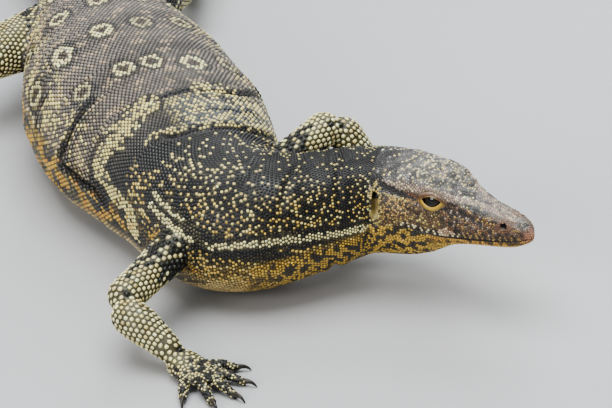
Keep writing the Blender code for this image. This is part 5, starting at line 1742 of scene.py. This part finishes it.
@dataclass
class Coat:
    """Builds the scales at their roots as joined meshes."""

    roots: Roots
    size: Array
    tones: Array
    limit: int = 196000
    patch: float = 0.0015
    gap: float = 0.93
    neighbours: int = 11
    shapes: dict = field(default_factory=lambda: {6: ScaleShape(6), 8: ScaleShape(8)})

    def cells(self, sides: int, start: float) -> Array:
        """How far each scale reaches in each direction before it meets its neighbours."""
        roots = self.roots
        near = neighbours(roots.point, self.neighbours)[:, 1:]
        across = np.cross(roots.normal, roots.lie)
        off = roots.point[near] - roots.point[:, None]
        x, y = (off * roots.lie[:, None]).sum(axis=2), (off * across[:, None]).sum(axis=2)
        half = (x * x + y * y) / 2
        reach = np.empty((len(self.size), sides))
        for k in range(sides):
            turn = start + 2 * math.pi * k / sides
            toward = x * math.cos(turn) + y * math.sin(turn)
            reach[:, k] = np.where(toward > 1e-6, half / np.maximum(toward, 1e-6), np.inf).min(axis=1)
        return np.minimum(reach, self.size[:, None] * 0.66)

    def height(self) -> Array:
        """How high each scale stands."""
        region, share = self.roots.region, np.abs(self.roots.share)
        rise = np.array((0.36, 0.54, 0.42, 0.38, 0.46))[region]
        rise = np.where((region != Region.LEG) & (region != Region.HEAD) & (share > 0.6), 0.18, rise)
        return self.size / 2 * rise

    def build(self, rows: Array, name: str, sides: int, chart: Array, material: bpy.types.Material
              ) -> bpy.types.Object:
        """One piece of scales.

        Args:
            rows: which roots it holds.
            name: the piece's name.
            sides: 6 or 8 sides a scale.
            chart: each root's place on the unwrapped hide, 0 to 1 both ways.
            material: the finish.
        """
        shape = self.shapes[sides]
        roots = self.roots
        reach = self.reaches[sides][rows] * self.gap
        mean = reach.mean(axis=1, keepdims=True)
        level, spoke = shape.level, shape.spoke
        rim = reach[:, spoke]
        inner = (0.45 * reach[:, spoke] + 0.55 * mean) * 0.62
        far = np.where(level == 0, rim, np.where(level == 1, inner, 0.0))
        high = self.height()[rows][:, None]
        lift = np.where(level == 0, -0.35 * high, np.where(level == 1, 0.72 * high, high))
        x = far * np.cos(shape.turn) + np.where(level == 0, 0.0, 0.10 * mean)
        y = far * np.sin(shape.turn)
        lift = lift + np.where(level == 0, 0.0, 0.10 * high * np.sign(x) * np.minimum(1, np.abs(x) / mean))
        across = np.cross(roots.normal[rows], roots.lie[rows])
        points = (roots.point[rows][:, None] + x[..., None] * roots.lie[rows][:, None] + y[..., None] * across[:, None]
                  + lift[..., None] * roots.normal[rows][:, None])
        points[..., 2] = np.maximum(points[..., 2], FLOOR_CLEAR)
        count, corners = len(rows), len(level)
        data = bpy.data.meshes.new(name)
        data.vertices.add(count * corners)
        data.vertices.foreach_set("co", points.astype(np.float32).ravel())
        flat = np.array([i for f in shape.faces for i in f])
        loops = (flat[None] + corners * np.arange(count)[:, None]).ravel()
        starts = np.concatenate([[0], np.cumsum([len(f) for f in shape.faces])[:-1]])
        data.loops.add(len(loops))
        data.loops.foreach_set("vertex_index", loops.astype(np.int32))
        data.polygons.add(count * len(shape.faces))
        data.polygons.foreach_set("loop_start", (starts[None] + len(flat) * np.arange(count)[:, None])
                                  .astype(np.int32).ravel())
        data.update(calc_edges=True)
        set_tone(data, np.repeat(self.tones[rows], corners, axis=0))
        # where the darkening at each scale's base starts: partly painted shade in the grooves between scales
        low = np.array((0.38, 0.05, 0.26, 0.15, 0.0))[roots.region[rows]]
        low = np.where((np.abs(roots.share[rows]) > 0.5) & (roots.region[rows] != Region.LEG), 0.36, low)
        rise = np.where(level[None] == 0, low[:, None], np.array((0.0, 0.62, 1.0))[level][None])
        set_values(data, "rise", rise)
        spread = np.array((1.0, 0.6, 0.0))[level]
        local = np.column_stack([spread * np.cos(shape.turn), spread * np.sin(shape.turn)]) * self.patch
        marks = (chart[:, None, :] + local[None])[:, flat].reshape(-1, 2)
        data.uv_layers.new(name="OFBake").data.foreach_set("uv", marks.astype(np.float32).ravel())
        data.materials.append(material)
        data.shade_smooth()
        return placed(name, data)

    def charts(self, rows: Array, region: Region) -> Array:
        """Places on the unwrapped hide for the given roots, spread over the whole square."""
        roots = self.roots
        if region != Region.LEG:
            u, v = roots.s[rows], (roots.share[rows] + 1) / 2
        else:
            leg = {key: value[rows] for key, value in roots.leg.items()}
            digit = leg["kind"] == Stretch.DIGIT
            palm = leg["kind"] == Stretch.PALM
            u = leg["along"] + np.where(palm, 0.01, 0.0) + np.where(digit, 0.02, 0.0)
            lane = np.where(digit | palm, (leg["digit"] + leg["around"]) / 5, leg["around"])
            v = (leg["limb"] + 0.02 + 0.96 * lane) / 4
        u = (u - u.min()) / max(float(np.ptp(u)), 1e-6)
        return 0.01 + 0.98 * np.column_stack([u, np.clip(v, 0, 1)])

    def pieces(self, material: bpy.types.Material) -> list[bpy.types.Object]:
        """Every piece of scales, region by region, each under the limit of triangles."""
        self.reaches = {sides: self.cells(sides, shape.start) for sides, shape in self.shapes.items()}
        roots = self.roots
        made = []
        fore = roots.leg["limb"] < 2
        plan = (("head", Region.HEAD, True, 8), ("neck", Region.NECK, True, 8), ("trunk", Region.TRUNK, True, 8),
                ("tail", Region.TAIL, True, 6), ("arms", Region.LEG, fore, 8), ("legs", Region.LEG, ~fore, 6))
        for name, region, chosen, sides in plan:
            rows = np.where((roots.region == region) & chosen)[0]
            order = roots.s[rows] if region != Region.LEG else roots.leg["limb"][rows] + roots.leg["along"][rows]
            rows = rows[np.argsort(order, kind="stable")]
            parts = max(1, math.ceil(len(rows) * self.shapes[sides].triangles / self.limit))
            for k, chunk in enumerate(np.array_split(rows, parts)):
                label = f"scales_{name}_{k + 1}" if parts > 1 else f"scales_{name}"
                piece = self.build(chunk, label, sides, self.charts(chunk, region), material)
                log.info("%s: %d scales, %d triangles", label, len(chunk), len(chunk) * self.shapes[sides].triangles)
                made.append(piece)
        return made


def fill(node: bpy.types.Node, *given: object, **values: object) -> None:
    """Sets up a node.

    Args:
        node: the node.
        given: numbers, colours or links for its first inputs, in order.
        values: its settings, and the same for inputs by name, with _ for a space.
    """
    pairs = list(zip(node.inputs, given))
    for key, value in values.items():
        name = key.replace("_", " ")
        if name in node.inputs:
            pairs.append((node.inputs[name], value))
        else:
            setattr(node, key, value)
    for socket, value in pairs:
        if isinstance(value, bpy.types.NodeSocket):
            node.id_data.links.new(value, socket)
        else:
            socket.default_value = value


def add_node(tree: bpy.types.NodeTree, kind: str, *given: object, **values: object) -> bpy.types.Node:
    """A new node of the kind, set up by fill."""
    made = tree.nodes.new(kind)
    fill(made, *given, **values)
    return made


def new_group(name: str, inputs: dict[str, float], outputs: tuple[str, ...], colours: tuple[str, ...] = ()
              ) -> tuple[bpy.types.NodeTree, bpy.types.Node, bpy.types.Node]:
    """An empty node group with its sockets, and its ends."""
    group = bpy.data.node_groups.new(name, "ShaderNodeTree")
    for key, value in inputs.items():
        kind = "NodeSocketColor" if key in colours else "NodeSocketFloat"
        socket = group.interface.new_socket(name=key, in_out="INPUT", socket_type=kind)
        socket.default_value = value
    for key in outputs:
        kind = "NodeSocketColor" if key in colours else "NodeSocketFloat"
        group.interface.new_socket(name=key, in_out="OUTPUT", socket_type=kind)
    return group, group.nodes.new("NodeGroupInput"), group.nodes.new("NodeGroupOutput")


class Effects:
    """The effects that several finishes share, as node groups."""

    def __init__(self) -> None:
        """Makes the groups once."""
        self.mottle = self.make_mottle()
        self.wet = self.make_wet()
        self.rims = self.make_rims()

    @staticmethod
    def make_mottle() -> bpy.types.NodeTree:
        """Uneven pigment: a colour made darker and lighter in small clouds."""
        group, start, end = new_group("uneven_pigment", {"Color": (0.5, 0.5, 0.5, 1), "Scale": 400.0, "Amount": 0.3},
                                      ("Color",), ("Color",))
        place = add_node(group, "ShaderNodeTexCoord")
        noise = add_node(group, "ShaderNodeTexNoise", Vector=place.outputs["Object"], Scale=start.outputs["Scale"],
                         Detail=3.0, Roughness=0.6)
        centre = add_node(group, "ShaderNodeMath", noise.outputs["Fac"], 0.5, operation="SUBTRACT")
        spread = add_node(group, "ShaderNodeMath", centre.outputs[0], start.outputs["Amount"], 0.0,
                          operation="MULTIPLY_ADD")
        lift = add_node(group, "ShaderNodeMath", spread.outputs[0], 1.0, operation="ADD")
        mix = add_node(group, "ShaderNodeVectorMath", start.outputs["Color"], operation="SCALE", Scale=lift.outputs[0])
        fill(end, mix.outputs[0])
        return group

    @staticmethod
    def make_rims() -> bpy.types.NodeTree:
        """Dark rims: a colour that fades to a share of itself where the rise is low, partly painted shade in the
        grooves between scales and partly the dark edge round a scale's pale middle.
        """
        group, start, end = new_group("dark_rims", {"Color": (0.5, 0.5, 0.5, 1), "Rise": 1.0, "Low": 0.30, "High": 0.56,
                                                    "Rim Share": 0.06}, ("Color",), ("Color",))
        spread = add_node(group, "ShaderNodeMapRange", interpolation_type="SMOOTHSTEP", Value=start.outputs["Rise"],
                          From_Min=start.outputs["Low"], From_Max=start.outputs["High"],
                          To_Min=start.outputs["Rim Share"])
        mix = add_node(group, "ShaderNodeVectorMath", start.outputs["Color"], operation="SCALE",
                       Scale=spread.outputs["Result"])
        fill(end, mix.outputs[0])
        return group

    @staticmethod
    def make_wet() -> bpy.types.NodeTree:
        """A wet film: roughness between two values in patches, and the height of a fine grain."""
        group, start, end = new_group("wet_film", {"Patch Scale": 60.0, "Low": 0.2, "High": 0.45,
                                                   "Grain Scale": 3000.0}, ("Roughness", "Height"))
        place = add_node(group, "ShaderNodeTexCoord")
        patch, grain = (add_node(group, "ShaderNodeTexNoise", Vector=place.outputs["Object"], Detail=2.0,
                                 Scale=start.outputs[scale], Roughness=rough)
                        for scale, rough in (("Patch Scale", 0.5), ("Grain Scale", 0.55)))
        spread = add_node(group, "ShaderNodeMapRange", Value=patch.outputs["Fac"], From_Min=0.3, From_Max=0.7,
                          To_Min=start.outputs["Low"], To_Max=start.outputs["High"])
        fill(end, spread.outputs["Result"], grain.outputs["Fac"])
        return group


@dataclass(frozen=True)
class HideFinish:
    """Hide or scales, coloured by the attribute that carries the markings."""

    name: str
    cloud_scale: float
    cloud_amount: float
    low: float
    high: float
    grain_scale: float
    grain_depth: float
    coat: float
    rims: bool = False
    patch_scale: float = 55.0
    strength: float = 0.6
    coat_roughness: float = 0.12
    specular: float = 0.5

    def colour(self, tree: bpy.types.NodeTree) -> bpy.types.NodeSocket:
        """Where the colour comes from before the uneven pigment."""
        return add_node(tree, "ShaderNodeAttribute", attribute_name="tone").outputs["Color"]

    def make(self, effects: Effects) -> bpy.types.Material:
        """Builds the material."""
        made = bpy.data.materials.new(self.name)
        made.use_nodes = True
        tree = made.node_tree
        last = add_node(tree, "ShaderNodeGroup", node_tree=effects.mottle, Color=self.colour(tree),
                        Scale=self.cloud_scale, Amount=self.cloud_amount)
        # partly painted shade: each scale darkens towards its base, in the grooves between scales
        if self.rims:
            rise = add_node(tree, "ShaderNodeAttribute", attribute_name="rise")
            last = add_node(tree, "ShaderNodeGroup", node_tree=effects.rims, Color=last.outputs["Color"],
                            Rise=rise.outputs["Fac"])
        film = add_node(tree, "ShaderNodeGroup", node_tree=effects.wet, Patch_Scale=self.patch_scale, Low=self.low,
                        High=self.high, Grain_Scale=self.grain_scale)
        bump = add_node(tree, "ShaderNodeBump", Strength=self.strength, Distance=self.grain_depth,
                        Height=film.outputs["Height"])
        fill(tree.nodes["Principled BSDF"], Base_Color=last.outputs["Color"], Roughness=film.outputs["Roughness"],
             Normal=bump.outputs["Normal"], Coat_Weight=self.coat, Coat_Roughness=self.coat_roughness,
             Specular_IOR_Level=self.specular)
        return made


@dataclass(frozen=True)
class RampFinish(HideFinish):
    """A smooth horny or glassy finish, coloured along an attribute."""

    patch_scale: float = 300.0
    strength: float = 0.4
    coat_roughness: float = 0.03
    specular: float = 0.35
    attribute: str = ""
    stops: tuple[tuple[float, tuple[float, float, float]], ...] = ()

    def colour(self, tree: bpy.types.NodeTree) -> bpy.types.NodeSocket:
        """A ramp of colours along the attribute."""
        value = add_node(tree, "ShaderNodeAttribute", attribute_name=self.attribute)
        ramp = add_node(tree, "ShaderNodeValToRGB", value.outputs["Fac"])
        for k, (place, colour) in enumerate(self.stops):
            stop = ramp.color_ramp.elements[k] if k < 2 else ramp.color_ramp.elements.new(place)
            stop.position = place
            stop.color = (*colour, 1.0)
        return ramp.outputs["Color"]


@dataclass
class Studio:
    """A pale floor, soft lights, and the camera where the photograph was taken from."""

    eye: tuple[float, float, float] = (2.70818, -0.38266, 1.23404)
    forward: tuple[float, float, float] = (-0.85302, 0.19693, -0.48328)
    right: tuple[float, float, float] = (0.22495, 0.97437, 0.0)
    up: tuple[float, float, float] = (-0.47089, 0.10871, 0.87546)
    roll_deg: float = 5.7
    lens: float = 200.0
    sensor: float = 36.0

    def camera(self) -> None:
        """Places the camera."""
        turn = math.radians(self.roll_deg)
        right0, up0 = np.array(self.right), np.array(self.up)
        right = right0 * math.cos(turn) - up0 * math.sin(turn)
        up = up0 * math.cos(turn) + right0 * math.sin(turn)
        back = -np.array(self.forward)
        data = bpy.data.cameras.new("camera")
        data.lens, data.sensor_width = self.lens, self.sensor
        data.clip_start, data.clip_end = 0.05, 30.0
        made = placed("camera", data)
        matrix = Matrix([[right[i], up[i], back[i], self.eye[i]] for i in range(3)] + [[0, 0, 0, 1]])
        made.matrix_world = matrix
        bpy.context.scene.camera = made

    def lights(self) -> None:
        """A wide soft sky above, a soft window from the front right and a weak one from the left."""
        plan = (("sky", (0.45, 0.10, 2.4), (0.45, 0.05, 0.0), 2.2, 88.0, (0.97, 0.99, 1.0)),
                ("window", (1.9, -1.7, 1.1), (0.5, 0.0, 0.05), 1.2, 34.0, (1.0, 0.98, 0.95)),
                ("back", (-1.3, 1.2, 1.6), (0.4, 0.0, 0.05), 1.2, 30.0, (0.95, 0.98, 1.0)))
        for name, place, target, size, power, colour in plan:
            data = bpy.data.lights.new(name, "AREA")
            data.shape, data.size, data.energy, data.color = "SQUARE", size, power, colour
            made = placed(name, data)
            made.location = place
            made.rotation_mode = "QUATERNION"
            made.rotation_quaternion = (Vector(target) - Vector(place)).to_track_quat("-Z", "Y")
        world = bpy.data.worlds.new("room")
        bpy.context.scene.world = world
        world.use_nodes = True
        sky = world.node_tree.nodes["Background"]
        sky.inputs["Color"].default_value = (0.86, 0.90, 0.95, 1)
        sky.inputs["Strength"].default_value = 0.40
        bpy.context.scene.view_settings.look = "AgX - Medium High Contrast"

    def floor(self) -> None:
        """A wide plain floor at the level of the soles."""
        shape = bmesh.new()
        bmesh.ops.create_grid(shape, x_segments=2, y_segments=2, size=6.0)
        material = bpy.data.materials.new("floor")
        material.use_nodes = True
        shader = material.node_tree.nodes["Principled BSDF"]
        shader.inputs["Base Color"].default_value = (0.44, 0.44, 0.445, 1)
        shader.inputs["Roughness"].default_value = 0.55
        piece_of("floor", shape, material)

    def build(self) -> None:
        """Camera, lights and floor."""
        self.camera()
        self.lights()
        self.floor()


FLESH = ("head", "lower_jaw", "neck", "chest", "abdomen", "pelvis", "tail_1", "tail_2", "tail_3", "tail_4", "tail_5",
         *(f"{part}_{side}" for side in ("left", "right")
           for part in ("upper_arm", "forearm", "hand", "thigh", "shin", "foot")))
FINISHES = {
    "scales": HideFinish("scale_horn", 900.0, 0.35, 0.26, 0.46, 2600.0, 0.00012, 0.20, True),
    "hide": HideFinish("bare_hide", 700.0, 0.5, 0.35, 0.6, 1400.0, 0.0003, 0.1),
    "lid": HideFinish("lid_hide", 1200.0, 0.5, 0.22, 0.38, 2400.0, 0.0002, 0.35),
    "eye": RampFinish("eye_wet", 900.0, 0.5, 0.03, 0.06, 2500.0, 0.00002, 0.25, attribute="sight",
                      stops=((0.0, (0.002, 0.002, 0.002)), (1.0, (0.012, 0.008, 0.006)),
                             (0.088, (0.002, 0.002, 0.002)), (0.094, (0.030, 0.017, 0.008)),
                             (0.125, (0.012, 0.007, 0.004)), (0.19, (0.012, 0.008, 0.006)),
                             (0.23, (0.008, 0.005, 0.004)))),
    "claw": RampFinish("claw_horn", 700.0, 0.5, 0.25, 0.42, 2500.0, 0.0001, 0.2, attribute="reach",
                       stops=((0.0, (0.060, 0.048, 0.034)), (1.0, (0.010, 0.008, 0.007)),
                              (0.35, (0.030, 0.024, 0.018)))),
}


def settle(piece: bpy.types.Object, slot: str, *nodes: str) -> None:
    """Makes the piece ride on the body and hides the imported nodes that it stands for."""
    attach(piece, BODY)
    if nodes:
        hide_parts(*nodes)


def tone_skin(skin: bpy.types.Object, roots: Roots, tones: Array) -> None:
    """Colours the hide like the scales that stand nearest, darker, and its openings, with painted shade inside the
    nostrils, along the mouth's groove and at the top of each ear, and painted light low in each ear.
    """
    tree = tree_of(roots.point)
    points = read(skin.data.vertices, "co").astype(float)
    nearest = np.array([tree.find(p)[1] for p in points.tolist()])
    s, _, height, share, _ = SPINE.locate(points)
    head = s < 0.135
    colours = tones[nearest] * np.where(head, 0.28, 0.10)[:, None]
    ear = head & (np.abs(share) > 0.2) & (np.abs(share) < 0.55) & (EAR.reach(s, height) < 1.05)
    colours[ear] = (0.20, 0.15, 0.055)
    # painted shade at the top of each ear opening, under its upper edge
    colours[ear & (height > 0.0765)] = (0.010, 0.008, 0.006)
    # painted light on the lower part of each ear opening
    colours[ear & (height < 0.0690)] = (0.30, 0.25, 0.10)
    nostril = head & (np.abs(share) > 0.1) & (np.abs(share) < 0.5) & (NOSTRIL.reach(s, height) < 0.95)
    # painted shade: the inside of each nostril is near black
    colours[nostril] = (0.010, 0.006, 0.005)
    groove = (s < 0.0895) & (np.abs(height - MOUTH_HEIGHT(s)) < 0.0006)
    # painted shade along the mouth's groove
    colours[groove] = (0.020, 0.012, 0.009)
    set_tone(skin.data, colours)


def main() -> None:
    """Builds the studio and every piece of the lizard, in order."""
    logging.basicConfig(level=logging.INFO, format="%(message)s")
    Studio().build()
    effects = Effects()
    looks = {key: finish.make(effects) for key, finish in FINISHES.items()}
    skin, head_tree = Skin().build()
    skin.data.materials.append(looks["hide"])
    settle(skin, "skin", *FLESH)
    log.info("skin: %d faces", len(skin.data.polygons))
    lids = []
    for eye in EYES:
        side = "left" if eye.side > 0 else "right"
        lid = Lids(eye).build(f"lids_{side}", head_tree, looks["lid"])
        settle(lid, "skin")
        lids.append(lid)
        settle(Eyeball(eye).build(f"eyeball_{side}", looks["eye"]), "eye", f"eye_{side}")
        log.info("eye and lids %s", side)
    for limb in LIMBS:
        side, kind = limb.name.split("_")
        end = "hand" if kind == "fore" else "foot"
        nodes = [f"claw_{end}_{side}_{k}" for k in range(1, 6)]
        settle(ClawSet(limb).build(f"claws_{end}_{side}", looks["claw"]), "claw", *nodes)
        log.info("claws of the %s %s", side, end)
    surface = Surface([skin, *lids])
    roots, size = Layout(surface, surface.counts[0]).build()
    log.info("%d scales", len(size))
    tones = Markings().tones(roots, size)
    for piece in Coat(roots, size, tones).pieces(looks["scales"]):
        settle(piece, "skin")
    tone_skin(skin, roots, tones)


if __name__ == "__main__":
    main()
